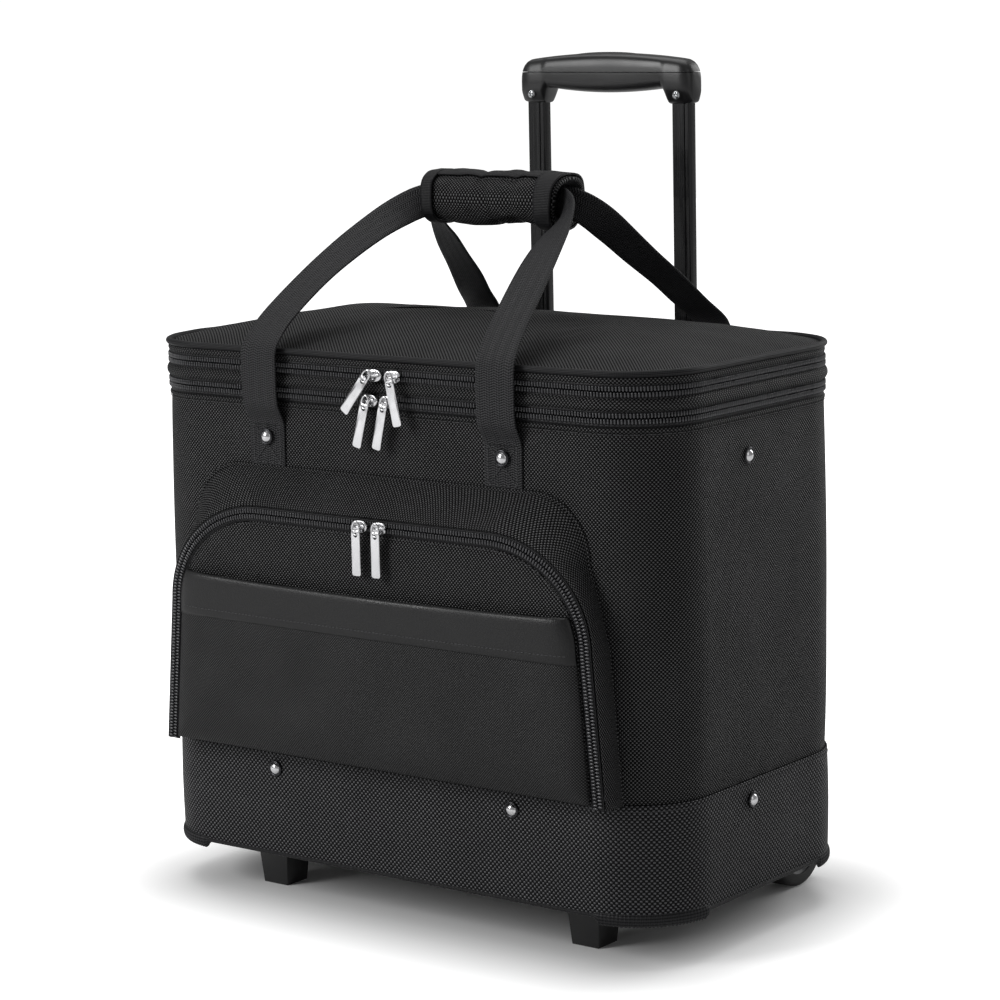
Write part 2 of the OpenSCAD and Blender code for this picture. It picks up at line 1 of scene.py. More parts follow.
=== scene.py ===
"""Looks of a soft-sided pilot flight case on wheels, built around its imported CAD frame."""

import json
import math

import bmesh
import bpy
import numpy as np
from mathutils import Matrix, Vector


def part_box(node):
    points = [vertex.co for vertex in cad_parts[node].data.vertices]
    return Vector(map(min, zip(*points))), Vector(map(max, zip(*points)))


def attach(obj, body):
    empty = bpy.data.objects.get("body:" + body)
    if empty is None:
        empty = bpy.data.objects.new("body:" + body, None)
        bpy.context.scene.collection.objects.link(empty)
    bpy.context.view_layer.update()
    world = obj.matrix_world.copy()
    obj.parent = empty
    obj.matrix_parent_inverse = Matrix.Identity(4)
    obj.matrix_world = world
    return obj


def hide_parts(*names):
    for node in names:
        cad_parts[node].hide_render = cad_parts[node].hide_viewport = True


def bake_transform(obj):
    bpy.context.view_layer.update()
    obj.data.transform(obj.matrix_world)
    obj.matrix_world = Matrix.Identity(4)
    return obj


bl_info = {
    "name": "Pilot flight case",
    "version": (1, 0, 0),
    "blender": (4, 5, 0),
    "location": "View3D > Sidebar > Flight Case",
    "description": "Fabric, zips, straps, fittings and trolley of a rolling pilot flight case",
    "category": "Add Mesh",
}

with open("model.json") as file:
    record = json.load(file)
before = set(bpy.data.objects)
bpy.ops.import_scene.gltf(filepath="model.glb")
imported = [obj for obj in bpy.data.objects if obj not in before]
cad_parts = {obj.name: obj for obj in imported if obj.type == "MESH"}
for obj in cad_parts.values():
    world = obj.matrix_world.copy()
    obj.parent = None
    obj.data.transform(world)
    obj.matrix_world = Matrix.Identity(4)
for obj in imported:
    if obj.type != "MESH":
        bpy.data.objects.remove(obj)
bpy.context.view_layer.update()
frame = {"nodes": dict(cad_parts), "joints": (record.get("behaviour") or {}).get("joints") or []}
MM = 0.001


def srgb(text):
    """Linear RGBA of an sRGB hex colour."""
    parts = [int(text[k : k + 2], 16) / 255 for k in (1, 3, 5)]
    return (*[c / 12.92 if c < 0.04045 else ((c + 0.055) / 1.055) ** 2.4 for c in parts], 1.0)


# Places that the frame gives, and the sizes that go with them, in metres.
COVER_LOW, COVER_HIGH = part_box("outer_cover")
HALF_W = COVER_HIGH.x
HALF_D = (COVER_HIGH.y - COVER_LOW.y) / 2
CENTRE_Y = (COVER_HIGH.y + COVER_LOW.y) / 2
FRONT_Y, BACK_Y = COVER_LOW.y, COVER_HIGH.y
CORNER_R = 55 * MM
ROUND = 4 * (HALF_W + HALF_D - 2 * CORNER_R) + 2 * math.pi * CORNER_R
ZIP_START = HALF_W - CORNER_R
LIFT = COVER_LOW.z - 24 * MM
WALL_T = 5 * MM
WALL_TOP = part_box("lining")[1].z + 2 * MM
BAND_LOW, BAND_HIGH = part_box("skirt_band")
BAND_T = BAND_HIGH.x - HALF_W
LOWER_ZIP_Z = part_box("lower_zip_body_half")[1].z + 0.3 * MM
UPPER_ZIP_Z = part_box("upper_zip_lid_half")[0].z - 0.3 * MM
PIPING_Z = (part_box("lid_piping")[0].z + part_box("lid_piping")[1].z) / 2
LID_TOP_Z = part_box("lid_top_panel")[1].z
TUBE_LOW, TUBE_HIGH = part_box("trolley_inner_tubes")
TUBE_Y = (TUBE_LOW.y + TUBE_HIGH.y) / 2
TUBE_X = TUBE_HIGH.x - 8.25 * MM
STRAP_X = 103 * MM
POCKET_LOW, POCKET_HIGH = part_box("pocket_gusset")
POCKET_BASE = POCKET_LOW.z
POCKET_Y = POCKET_LOW.y - 0.1 * MM
PANEL_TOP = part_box("pocket_panel")[1].z
TRIM_LOW, TRIM_TOP = (corner.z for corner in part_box("trim_band"))
ZIP_INSET = 5 * MM
PANEL_INSET = 10.2 * MM
POCKET_TOP = PANEL_TOP + PANEL_INSET
GRIP_LOW, GRIP_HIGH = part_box("grip_wrap")
GRIP_Y = (GRIP_LOW.y + GRIP_HIGH.y) / 2
GRIP_Z = (GRIP_LOW.z + GRIP_HIGH.z) / 2


class CaseSizes(bpy.types.PropertyGroup):
    """Sizes of the weaves, zips, threads and soft shapes."""

    weave: bpy.props.FloatProperty(
        name="Weave", description="Width of one thread of the ballistic nylon",
        default=1.35 * MM, min=0.2 * MM, unit="LENGTH", precision=5)
    band_weave: bpy.props.FloatProperty(
        name="Band weave", description="Width of one thread of the lower band",
        default=1.75 * MM, min=0.2 * MM, unit="LENGTH", precision=5)
    slip_weave: bpy.props.FloatProperty(
        name="Slip pocket weave", description="Width of one thread of the slip pocket's satin",
        default=1.0 * MM, min=0.2 * MM, unit="LENGTH", precision=5)
    web_rib: bpy.props.FloatProperty(
        name="Webbing rib", description="Distance between the ribs of the webbing",
        default=1.7 * MM, min=0.5 * MM, unit="LENGTH", precision=5)
    tooth_pitch: bpy.props.FloatProperty(
        name="Tooth pitch", description="Distance between the teeth of a zip",
        default=2.3 * MM, min=1.0 * MM, unit="LENGTH", precision=5)
    stitch: bpy.props.FloatProperty(
        name="Stitch", description="Length of one stitch with its gap",
        default=3.6 * MM, min=2.0 * MM, unit="LENGTH", precision=5)
    wall_swell: bpy.props.FloatProperty(
        name="Wall swell", description="How far the padded side walls stand out at their middle",
        default=2.6 * MM, min=0.0, max=8 * MM, unit="LENGTH", precision=5)
    lid_swell: bpy.props.FloatProperty(
        name="Lid swell", description="How far the lid's cloth may lift in its simulation",
        default=5 * MM, min=0.0, max=10 * MM, unit="LENGTH", precision=5)


class CaseColours(bpy.types.PropertyGroup):
    """Colours of the cloths, plastics and metals."""

    nylon: bpy.props.FloatVectorProperty(
        name="Ballistic nylon", description="Colour of the body fabric",
        subtype="COLOR", size=4, default=srgb("#151516"))
    band: bpy.props.FloatVectorProperty(
        name="Lower band", description="Colour of the coated band round the base",
        subtype="COLOR", size=4, default=srgb("#1c1c1e"))
    slip: bpy.props.FloatVectorProperty(
        name="Slip pocket", description="Colour of the satin slip pocket",
        subtype="COLOR", size=4, default=srgb("#0f0f10"))
    webbing: bpy.props.FloatVectorProperty(
        name="Webbing", description="Colour of the straps and bindings",
        subtype="COLOR", size=4, default=srgb("#161618"))
    leatherette: bpy.props.FloatVectorProperty(
        name="Leatherette", description="Colour of the pocket's trim band",
        subtype="COLOR", size=4, default=srgb("#101011"))
    lining: bpy.props.FloatVectorProperty(
        name="Lining", description="Colour of the inside cloth",
        subtype="COLOR", size=4, default=srgb("#37373b"))
    plastic: bpy.props.FloatVectorProperty(
        name="Plastic", description="Colour of the moulded parts",
        subtype="COLOR", size=4, default=srgb("#161617"))
    thread: bpy.props.FloatVectorProperty(
        name="Thread", description="Colour of the sewing thread",
        subtype="COLOR", size=4, default=srgb("#2c2c2e"))


def sizes():
    """The sizes that are set in the panel."""
    return bpy.context.scene.case_sizes


def colours():
    """The colours that are set in the panel."""
    return bpy.context.scene.case_colours


# Materials

# Outputs of the texture coordinate node.
UV_MAP, OBJECT_SPACE = 2, 3


def add(tree, kind, settings=None, inputs=None, out=0):
    """Adds a node, with settings on the node and values or links on its inputs, and returns an output."""
    node = tree.nodes.new(kind)
    for key, value in (settings or {}).items():
        setattr(node, key, value)
    for key, value in (inputs or {}).items():
        if isinstance(value, bpy.types.NodeSocket):
            tree.links.new(value, node.inputs[key])
        else:
            node.inputs[key].default_value = value
    return node.outputs[out] if node.outputs else node


def shader(name, colour, roughness, **fixed):
    """A new material with its node tree and its Principled shader. fixed are plain socket values."""
    material = bpy.data.materials.new(name)
    material.use_nodes = True
    tree = material.node_tree
    principled = tree.nodes["Principled BSDF"]
    values = {"Base Color": tuple(colour), "Roughness": roughness, **fixed}
    for key, value in values.items():
        principled.inputs[key].default_value = value
    return material, tree, principled.inputs


def shade(colour, factor):
    """The same colour, lighter or darker."""
    return (*[min(1.0, c * factor) for c in tuple(colour)[:3]], 1.0)


def cloud(tree, scale, detail=3.0):
    """Soft noise whose patches are 1/scale metres wide."""
    spot = add(tree, "ShaderNodeTexCoord", out=OBJECT_SPACE)
    return add(tree, "ShaderNodeTexNoise", None, {"Vector": spot, "Scale": scale, "Detail": detail})


def ripple(tree, value, pitch):
    """Round ridges a pitch apart: the size of the sine of the place."""
    turned = add(tree, "ShaderNodeMath", {"operation": "MULTIPLY"}, {0: value, 1: math.pi / pitch})
    wave = add(tree, "ShaderNodeMath", {"operation": "SINE"}, {0: turned})
    return add(tree, "ShaderNodeMath", {"operation": "ABSOLUTE"}, {0: wave})


def plain_weave(tree, u, v, pitch):
    """Height of a plain weave, and which thread lies on top, 0 or 1."""
    a, b = ripple(tree, u, pitch), ripple(tree, v, pitch)
    cells = add(tree, "ShaderNodeCombineXYZ", None, {"X": u, "Y": v, "Z": 0.5 * pitch})
    top = add(tree, "ShaderNodeTexChecker", None, {"Vector": cells, "Scale": 1 / pitch}, out=1)
    heights = []
    for across, along in ((a, b), (b, a)):
        fade = add(tree, "ShaderNodeMath", {"operation": "MULTIPLY_ADD"}, {0: along, 1: 0.55, 2: 0.45})
        heights.append(add(tree, "ShaderNodeMath", {"operation": "MULTIPLY"}, {0: across, 1: fade}))
    height = add(tree, "ShaderNodeMix", {"data_type": "FLOAT"}, {0: top, 2: heights[0], 3: heights[1]})
    return height, top


def flat_coordinates(tree, source):
    """The two coordinates, in metres, that a weave is drawn in."""
    parts = tree.nodes.new("ShaderNodeSeparateXYZ")
    tree.links.new(add(tree, "ShaderNodeTexCoord", out=source), parts.inputs[0])
    return parts.outputs[0], parts.outputs[1]


def woven(name, colour, pitch, roughness, relief, contrast, source=UV_MAP, sheen=0.0):
    """Woven synthetic cloth. Alternate threads catch the light, which gives rows of fine bright dashes: these
    are painted into the base colour as highlights, with painted shade between the threads, over a slow random
    tone.
    """
    material, tree, sockets = shader(name, colour, roughness, **{
        "Specular IOR Level": 0.32, "Sheen Weight": sheen, "Sheen Roughness": 0.5})
    u, v = flat_coordinates(tree, source)
    height, top = plain_weave(tree, u, v, pitch)
    mottle = cloud(tree, 22, detail=4)
    lit = add(tree, "ShaderNodeMath", {"operation": "MULTIPLY"}, {0: top, 1: height})
    lit = add(tree, "ShaderNodeMath", {"operation": "MULTIPLY_ADD"}, {0: mottle, 1: 0.25, 2: lit})
    tone = add(tree, "ShaderNodeMapRange", None, {0: lit, 1: 0.15, 2: 0.9, 3: 0.0, 4: 1.0})
    # Painted highlight on the threads that lie on top and painted shade between them: a lighter and a darker
    # copy of the cloth's colour.
    mixed = add(tree, "ShaderNodeMix", {"data_type": "RGBA"}, {
        0: tone, 6: shade(colour, 1 - 0.9 * contrast), 7: shade(colour, 1 + 3.0 * contrast)}, out=2)
    tree.links.new(mixed, sockets["Base Color"])
    glint = add(tree, "ShaderNodeMapRange", None, {
        0: tone, 3: 0.3 * (1 - 0.9 * contrast), 4: 0.3 + 0.6 * contrast})
    tree.links.new(glint, sockets["Specular IOR Level"])
    gloss = add(tree, "ShaderNodeMapRange", None, {
        0: lit, 1: 0.1, 2: 1.2, 3: roughness + 0.16, 4: roughness - 0.1})
    tree.links.new(gloss, sockets["Roughness"])
    bump = add(tree, "ShaderNodeBump", None, {"Strength": 1.0, "Distance": relief, "Height": height})
    tree.links.new(bump, sockets["Normal"])
    return material


def ballistic_nylon():
    """Heavy two-ply nylon, plain woven and proofed: dull black with rows of small bright dashes of painted
    highlight.
    """
    return woven("woven_ballistic_nylon", colours().nylon, sizes().weave, 0.52, 0.35 * MM, 0.88)


def band_cloth():
    """The same weave with a vinyl coat, coarser and a little lighter, with a soft gloss."""
    return woven("coated_weave", colours().band, sizes().band_weave, 0.46, 0.4 * MM, 0.8)


def slip_satin():
    """Fine satin weave: a smoother and darker cloth with a soft sheen."""
    return woven("fine_satin_weave", colours().slip, sizes().slip_weave, 0.5, 0.15 * MM, 0.55, sheen=0.02)


def lining_cloth():
    """Light polyester lining, plain woven: grey and matt."""
    return woven("polyester_lining", colours().lining, 0.8 * MM, 0.7, 0.1 * MM, 0.35, OBJECT_SPACE)


def webbing():
    """Polyester webbing: ribs across the strap, each broken into slanting floats, with a faint gloss, painted
    shade between the ribs and painted highlight on them.
    """
    colour = colours().webbing
    material, tree, sockets = shader("ribbed_webbing", colour, 0.55, **{"Specular IOR Level": 0.3})
    u, v = flat_coordinates(tree, UV_MAP)
    slanted = add(tree, "ShaderNodeMath", {"operation": "PINGPONG"}, {0: u, 1: 4 * MM})
    along = add(tree, "ShaderNodeMath", {"operation": "MULTIPLY_ADD"}, {0: slanted, 1: 0.35, 2: v})
    rib = ripple(tree, along, sizes().web_rib)
    strand = ripple(tree, u, 2.0 * MM)
    height = add(tree, "ShaderNodeMath", {"operation": "MULTIPLY_ADD"}, {0: strand, 1: 0.45, 2: rib})
    # Painted shade in the valleys between the ribs and painted highlight on their crests.
    mixed = add(tree, "ShaderNodeMix", {"data_type": "RGBA"}, {
        0: height, 6: shade(colour, 0.15), 7: shade(colour, 1.6)}, out=2)
    tree.links.new(mixed, sockets["Base Color"])
    glint = add(tree, "ShaderNodeMapRange", None, {0: height, 1: 0.2, 2: 1.3, 3: 0.02, 4: 0.5})
    tree.links.new(glint, sockets["Specular IOR Level"])
    bump = add(tree, "ShaderNodeBump", None, {"Strength": 1.0, "Distance": 0.45 * MM, "Height": height})
    tree.links.new(bump, sockets["Normal"])
    return material


def tape():
    """Narrow polyester tape, as on zips and bound edges: fine ribs along it, with painted shade between them
    and painted highlight on them, and a low sheen.
    """
    colour = shade(colours().webbing, 0.8)
    material, tree, sockets = shader("woven_tape", colour, 0.5, **{"Specular IOR Level": 0.3})
    u, v = flat_coordinates(tree, UV_MAP)
    rib = ripple(tree, v, 1.1 * MM)
    cross = ripple(tree, u, 1.1 * MM)
    height = add(tree, "ShaderNodeMath", {"operation": "MULTIPLY_ADD"}, {0: cross, 1: 0.5, 2: rib})
    # Painted shade between the ribs and painted highlight on their crests.
    mixed = add(tree, "ShaderNodeMix", {"data_type": "RGBA"}, {
        0: height, 6: shade(colour, 0.3), 7: shade(colour, 1.3)}, out=2)
    tree.links.new(mixed, sockets["Base Color"])
    glint = add(tree, "ShaderNodeMapRange", None, {0: height, 1: 0.2, 2: 1.4, 3: 0.02, 4: 0.32})
    tree.links.new(glint, sockets["Specular IOR Level"])
    bump = add(tree, "ShaderNodeBump", None, {"Strength": 0.8, "Distance": 0.2 * MM, "Height": height})
    tree.links.new(bump, sockets["Normal"])
    return material


def grained(name, colour, roughness, grain, relief, spread=0.1, **fixed):
    """A moulded, embossed or cast surface: a fine grain in its height and a slow change in its gloss."""
    material, tree, sockets = shader(name, colour, roughness, **fixed)
    spot = add(tree, "ShaderNodeTexCoord", out=OBJECT_SPACE)
    pits = add(tree, "ShaderNodeTexVoronoi", None, {"Vector": spot, "Scale": 1 / grain})
    slow = cloud(tree, 30, detail=5)
    worn = add(tree, "ShaderNodeMapRange", None, {
        0: slow, 1: 0.3, 2: 0.7, 3: roughness - spread, 4: roughness + spread})
    tree.links.new(worn, sockets["Roughness"])
    mixed = add(tree, "ShaderNodeMix", {"data_type": "RGBA"}, {
        0: slow, 6: shade(colour, 0.85), 7: shade(colour, 1.15)}, out=2)
    tree.links.new(mixed, sockets["Base Color"])
    bump = add(tree, "ShaderNodeBump", None, {"Strength": 0.6, "Distance": relief, "Height": pits})
    tree.links.new(bump, sockets["Normal"])
    return material


def leatherette():
    """Vinyl embossed with a calf grain: fine pebbles under a smooth sheen."""
    return grained("embossed_leatherette", colours().leatherette, 0.42, 1.1 * MM, 0.16 * MM,
                   **{"Specular IOR Level": 0.36})


def moulded_plastic():
    """Black nylon plastic from a spark-eroded mould: a dull, very fine grain."""
    return grained("moulded_nylon_plastic", colours().plastic, 0.48, 0.7 * MM, 0.03 * MM)


def satin_plastic():
    """Black ABS from a smoother mould: satin, with soft highlights."""
    return grained("satin_abs", colours().plastic, 0.33, 0.8 * MM, 0.012 * MM, 0.05)


def gloss_plastic():
    """Polished ABS: the button's slightly lighter and glossier face."""
    return grained("polished_abs", shade(colours().plastic, 1.5), 0.2, 1.0 * MM, 0.005 * MM, 0.05)


def tyre_rubber():
    """Thermoplastic rubber: matt dark grey with a fine grain and scuffs."""
    return grained("moulded_rubber", srgb("#1c1c1c"), 0.72, 0.9 * MM, 0.06 * MM)


def wheel_plastic():
    """Dark grey polypropylene: waxy and half matt."""
    return grained("moulded_polypropylene", srgb("#3a3a3c"), 0.5, 1.0 * MM, 0.03 * MM)


def anodised_tube():
    """Black anodised aluminium tube: drawn lines along it under a clear dark gloss."""
    material, tree, sockets = shader("black_anodised_aluminium", srgb("#101012"), 0.22, **{
        "Metallic": 0.35, "Coat Weight": 0.6, "Coat Roughness": 0.08})
    spot = add(tree, "ShaderNodeTexCoord", out=OBJECT_SPACE)
    drawn = add(tree, "ShaderNodeMapping", None, {"Vector": spot, "Scale": (2600, 2600, 14)})
    lines = add(tree, "ShaderNodeTexNoise", None, {"Vector": drawn, "Scale": 1.0, "Detail": 3.0})
    gloss = add(tree, "ShaderNodeMapRange", None, {0: lines, 1: 0.3, 2: 0.7, 3: 0.14, 4: 0.32})
    tree.links.new(gloss, sockets["Roughness"])
    mixed = add(tree, "ShaderNodeMix", {"data_type": "RGBA"}, {
        0: lines, 6: srgb("#0b0b0c"), 7: srgb("#18181a")}, out=2)
    tree.links.new(mixed, sockets["Base Color"])
    return material


def metal(name, colour, roughness):
    """Plated or bright steel: a mirror with faint polishing waves and cloudy wear."""
    material, tree, sockets = shader(name, colour, roughness, Metallic=1.0)
    slow = cloud(tree, 240, detail=4)
    worn = add(tree, "ShaderNodeMapRange", None, {
        0: slow, 1: 0.3, 2: 0.75, 3: roughness * 0.7, 4: roughness * 1.8})
    tree.links.new(worn, sockets["Roughness"])
    mixed = add(tree, "ShaderNodeMix", {"data_type": "RGBA"}, {
        0: slow, 6: shade(colour, 0.85), 7: shade(colour, 1.05)}, out=2)
    tree.links.new(mixed, sockets["Base Color"])
    bump = add(tree, "ShaderNodeBump", None, {"Strength": 0.12, "Distance": 0.05 * MM, "Height": slow})
    tree.links.new(bump, sockets["Normal"])
    return material


def chrome():
    """Bright chrome plate on die-cast zinc."""
    return metal("chrome_plated_zinc", srgb("#dcdcde"), 0.16)


def steel():
    """Zinc plated steel, as on screws, axles and rods."""
    return metal("zinc_plated_steel", srgb("#b4b6b8"), 0.28)


def painted_shade_lining():
    """Lining cloth inside the ends of the carry grip: fine and matt, its grey darkened to nearly black as
    painted shade.
    """
    # Painted shade: the lining's grey cut to an eighth of its brightness for the inside of the grip's ends.
    return woven("grip_inside_painted_shade", shade(colours().lining, 0.12), 0.8 * MM, 0.8, 0.05 * MM, 0.3, OBJECT_SPACE)


def painted_gap_shade():
    """Dark rough plastic round the release button, painted shade for the gap between button and shell, so
    that it reads as a dark line.
    """
    # Painted shade: plastic darkened to a third, put where the gap round the button is.
    return grained("gap_painted_shade", shade(colours().plastic, 0.35), 0.8, 0.5 * MM, 0.03 * MM)


def black_nickel():
    """Dark nickel plate, as on the rims of the rivets."""
    return metal("black_nickel_plate", srgb("#3a3a3c"), 0.25)


def zip_nylon():
    """Nylon coil of a zip: smooth black thread, painted lighter than the cloth as a highlight, with small
    bright spots on each turn.
    """
    # The coil's grey is partly its own colour and partly painted highlight on the teeth.
    return grained("nylon_zip_coil", srgb("#303033"), 0.28, 0.5 * MM, 0.02 * MM,
                   **{"Specular IOR Level": 0.75})


def sewing_thread():
    """Twisted polyester thread: fine slanting strands."""
    return grained("twisted_polyester_thread", colours().thread, 0.5, 0.35 * MM, 0.08 * MM)


def hardboard():
    """Pressed fibre board: brown with short flecks."""
    return grained("pressed_fibreboard", srgb("#5b4a38"), 0.85, 1.4 * MM, 0.08 * MM)


_made = {}


def finish(make):
    """The material that a function makes, made once."""
    if make not in _made:
        _made[make] = make()
    return _made[make]


# Mesh building


def new_object(name, mesh):
    """Puts a mesh in the scene as an object."""
    piece = bpy.data.objects.new(name, mesh)
    bpy.context.scene.collection.objects.link(piece)
    return piece


def solid(name, points, faces, uv=None):
    """An object from points, faces and, where given, one UV for each corner of each face."""
    mesh = bpy.data.meshes.new(name)
    mesh.from_pydata([tuple(p) for p in np.asarray(points, float)], [], [tuple(map(int, f)) for f in faces])
    mesh.shade_smooth()
    if uv is not None:
        layer = mesh.uv_layers.new(name="UVMap")
        layer.data.foreach_set("uv", np.asarray(uv, np.float32).ravel())
    work = bmesh.new()
    work.from_mesh(mesh)
    bmesh.ops.recalc_face_normals(work, faces=work.faces)
    work.to_mesh(mesh)
    work.free()
    return new_object(name, mesh)


def weld(mesh):
    """Joins points that lie on each other, and turns every face outwards."""
    work = bmesh.new()
    work.from_mesh(mesh)
    bmesh.ops.remove_doubles(work, verts=work.verts, dist=1e-6)
    bmesh.ops.recalc_face_normals(work, faces=work.faces)
    work.to_mesh(mesh)
    work.free()


def skin(name, grid, uv, wrap_i=False, wrap_j=False):
    """A net of points (n, m, 3) as a surface. Where only j wraps round, both ends are closed with caps."""
    n, m = grid.shape[:2]
    i, j = np.meshgrid(np.arange(n - (not wrap_i)), np.arange(m - (not wrap_j)), indexing="ij")
    corners = [(i, j), (i + 1, j), (i + 1, j + 1), (i, j + 1)]
    faces = np.stack([(a % n) * m + (b % m) for a, b in corners], -1).reshape(-1, 4)
    loops = np.stack([uv[a, b] for a, b in corners], -2).reshape(-1, 2)
    faces, loops = faces.tolist(), loops.tolist()
    if wrap_j and not wrap_i:
        for k in (0, n - 1):
            faces.append([k * m + c for c in range(m)])
            loops += [uv[k, c] for c in range(m)]
    return solid(name, grid.reshape(-1, 3), faces, np.array(loops))


def slab_of(name, front, back, uv):
    """A closed panel between two nets of points with the same layout."""
    n, m = front.shape[:2]
    edge = [(k, 0) for k in range(n)] + [(n - 1, k) for k in range(1, m)]
    edge += [(k, m - 1) for k in range(n - 2, -1, -1)] + [(0, k) for k in range(m - 2, 0, -1)]
    i, j = np.meshgrid(np.arange(n - 1), np.arange(m - 1), indexing="ij")
    corners = [(i, j), (i + 1, j), (i + 1, j + 1), (i, j + 1)]
    quads = np.stack([a * m + b for a, b in corners], -1).reshape(-1, 4)
    loops = np.stack([uv[a, b] for a, b in corners], -2).reshape(-1, 2)
    faces = quads.tolist() + (quads[:, ::-1] + n * m).tolist()
    loops = loops.tolist() + loops.reshape(-1, 4, 2)[:, ::-1].reshape(-1, 2).tolist()
    for (a, b), (c, d) in zip(edge, edge[1:] + edge[:1]):
        faces.append([a * m + b, c * m + d, n * m + c * m + d, n * m + a * m + b])
        loops += [uv[a, b], uv[c, d], uv[c, d], uv[a, b]]
    return solid(name, np.concatenate([front.reshape(-1, 3), back.reshape(-1, 3)]), faces, np.array(loops))


def settle(piece, *modifiers):
    """Adds modifiers, each a kind and its settings, and applies them to the mesh."""
    for kind, settings in modifiers:
        modifier = piece.modifiers.new(kind, kind)
        for key, value in settings.items():
            setattr(modifier, key, value)
    bpy.context.view_layer.update()
    graph = bpy.context.evaluated_depsgraph_get()
    mesh = bpy.data.meshes.new_from_object(piece.evaluated_get(graph), depsgraph=graph)
    piece.modifiers.clear()
    piece.data = mesh
    return piece


def rounded(piece, width, segments=3, angle=40):
    """Rounds every sharp edge of a piece."""
    settle(piece, ("BEVEL", {"width": width, "segments": segments, "limit_method": "ANGLE",
                             "angle_limit": math.radians(angle), "harden_normals": False}))
    piece.data.shade_smooth()
    return piece


def sharpened(piece, angle=35):
    """Smooth shading with true edges kept where faces meet at more than an angle."""
    piece.data.shade_smooth()
    piece.data.set_sharp_from_angle(angle=math.radians(angle))
    return piece


def extruded(name, outline, low, high, axis="Y"):
    """A closed outline, in the two axes that are left, drawn out along an axis."""
    n = len(outline)
    order = {"X": (2, 0, 1), "Y": (0, 2, 1), "Z": (0, 1, 2)}[axis]
    points = np.array([[*p, level] for level in (low, high) for p in outline])[:, order]
    faces = [list(range(n)), list(range(2 * n - 1, n - 1, -1))]
    faces += [[k, (k + 1) % n, n + (k + 1) % n, n + k] for k in range(n)]
    return solid(name, points, faces)


def lathe(name, profile, centre, axis, steps=48):
    """Points (along the axis, radius) turned round an axis through a centre."""
    axis = Vector(axis).normalized()
    side = axis.orthogonal().normalized()
    other = axis.cross(side)
    turn = np.linspace(0, 2 * math.pi, steps, endpoint=False)
    ring = np.outer(np.cos(turn), side) + np.outer(np.sin(turn), other)
    profile = np.array(profile)
    grid = np.array(centre) + profile[None, :, :1] * np.array(axis) + ring[:, None] * profile[None, :, 1:]
    girth = np.linspace(0, 2 * math.pi * profile[:, 1].max(), steps + 1)
    closed = bool(np.allclose(profile[0], profile[-1]))
    if closed:
        grid = grid[:, :-1]
    uv = np.stack(np.meshgrid(girth, lengths(profile), indexing="ij"), -1)
    piece = skin(name, grid, uv, wrap_i=True, wrap_j=closed)
    if not closed:
        weld(piece.data)
    return piece


def joined(name, pieces):
    """Several objects as one."""
    work = bmesh.new()
    for piece in pieces:
        part = piece.data.copy()
        part.transform(piece.matrix_world)
        work.from_mesh(part)
        bpy.data.meshes.remove(part)
    for piece in pieces:
        bpy.data.objects.remove(piece)
    mesh = bpy.data.meshes.new(name)
    work.to_mesh(mesh)
    work.free()
    return new_object(name, mesh)


def scattered(name, shape, places, axes):
    """Copies of a small shape (points, faces), each at a place with its own three axes."""
    points, faces = shape
    grid = np.asarray(places)[:, None] + np.einsum("pa,kab->kpb", points, np.asarray(axes))
    k, p = grid.shape[:2]
    all_faces = [[v + c * p for v in face] for c in range(k) for face in faces]
    mesh = bpy.data.meshes.new(name)
    mesh.from_pydata([tuple(v) for v in grid.reshape(-1, 3)], [], all_faces)
    mesh.shade_smooth()
    return new_object(name, mesh)


def pill(length, width, height, ends=0.25, sides=8):
    """A small rounded bar along X, for a stitch or a tooth."""
    stations = [(-0.5, 0.35), (-0.5 + ends / 2, 0.85), (-0.5 + ends, 1.0),
                (0.5 - ends, 1.0), (0.5 - ends / 2, 0.85), (0.5, 0.35)]
    points, faces = [], []
    for x, grow in stations:
        for k in range(sides):
            a = 2 * math.pi * (k + 0.5) / sides
            points.append((x * length, width / 2 * grow * math.cos(a), height / 2 * grow * math.sin(a)))
    for i in range(len(stations) - 1):
        for k in range(sides):
            m = (k + 1) % sides
            faces.append([i * sides + k, i * sides + m, (i + 1) * sides + m, (i + 1) * sides + k])
    faces.append(list(range(sides))[::-1])
    faces.append([len(points) - sides + k for k in range(sides)])
    return np.array(points), faces


def lengths(points):
    """Running length along points."""
    return np.concatenate([[0], np.cumsum(np.linalg.norm(np.diff(points, axis=0), axis=1))])


def spaced(points, pitch, phase, *others):
    """Places a pitch apart along a line, and the other values there."""
    run = lengths(points)
    at = np.arange(phase * pitch, run[-1] - 0.2 * pitch, pitch)
    return [np.stack([np.interp(at, run, column) for column in np.asarray(values).T], -1)
            for values in (points, *others)]


def unit(vectors):
    """The same directions, each of length 1."""
    return vectors / np.maximum(np.linalg.norm(vectors, axis=-1, keepdims=True), 1e-12)


def thread_line(name, points, outward, width=0.62 * MM, pitch=None):
    """A line of stitches along points, with outward the direction away from the cloth at each."""
    pitch = pitch or sizes().stitch
    points, outward = np.asarray(points, float), np.asarray(outward, float)
    along = unit(np.gradient(points, axis=0))
    at, run, out = spaced(points, pitch, 0.5, along, outward)
    run, out = unit(run), unit(out)
    across = unit(np.cross(out, run))
    tilt = unit(run + 0.12 * across)
    axes = np.stack([tilt, unit(np.cross(out, tilt)), out], 1)
    return scattered(name, pill(pitch * 0.78, width, width * 0.8), at, axes)


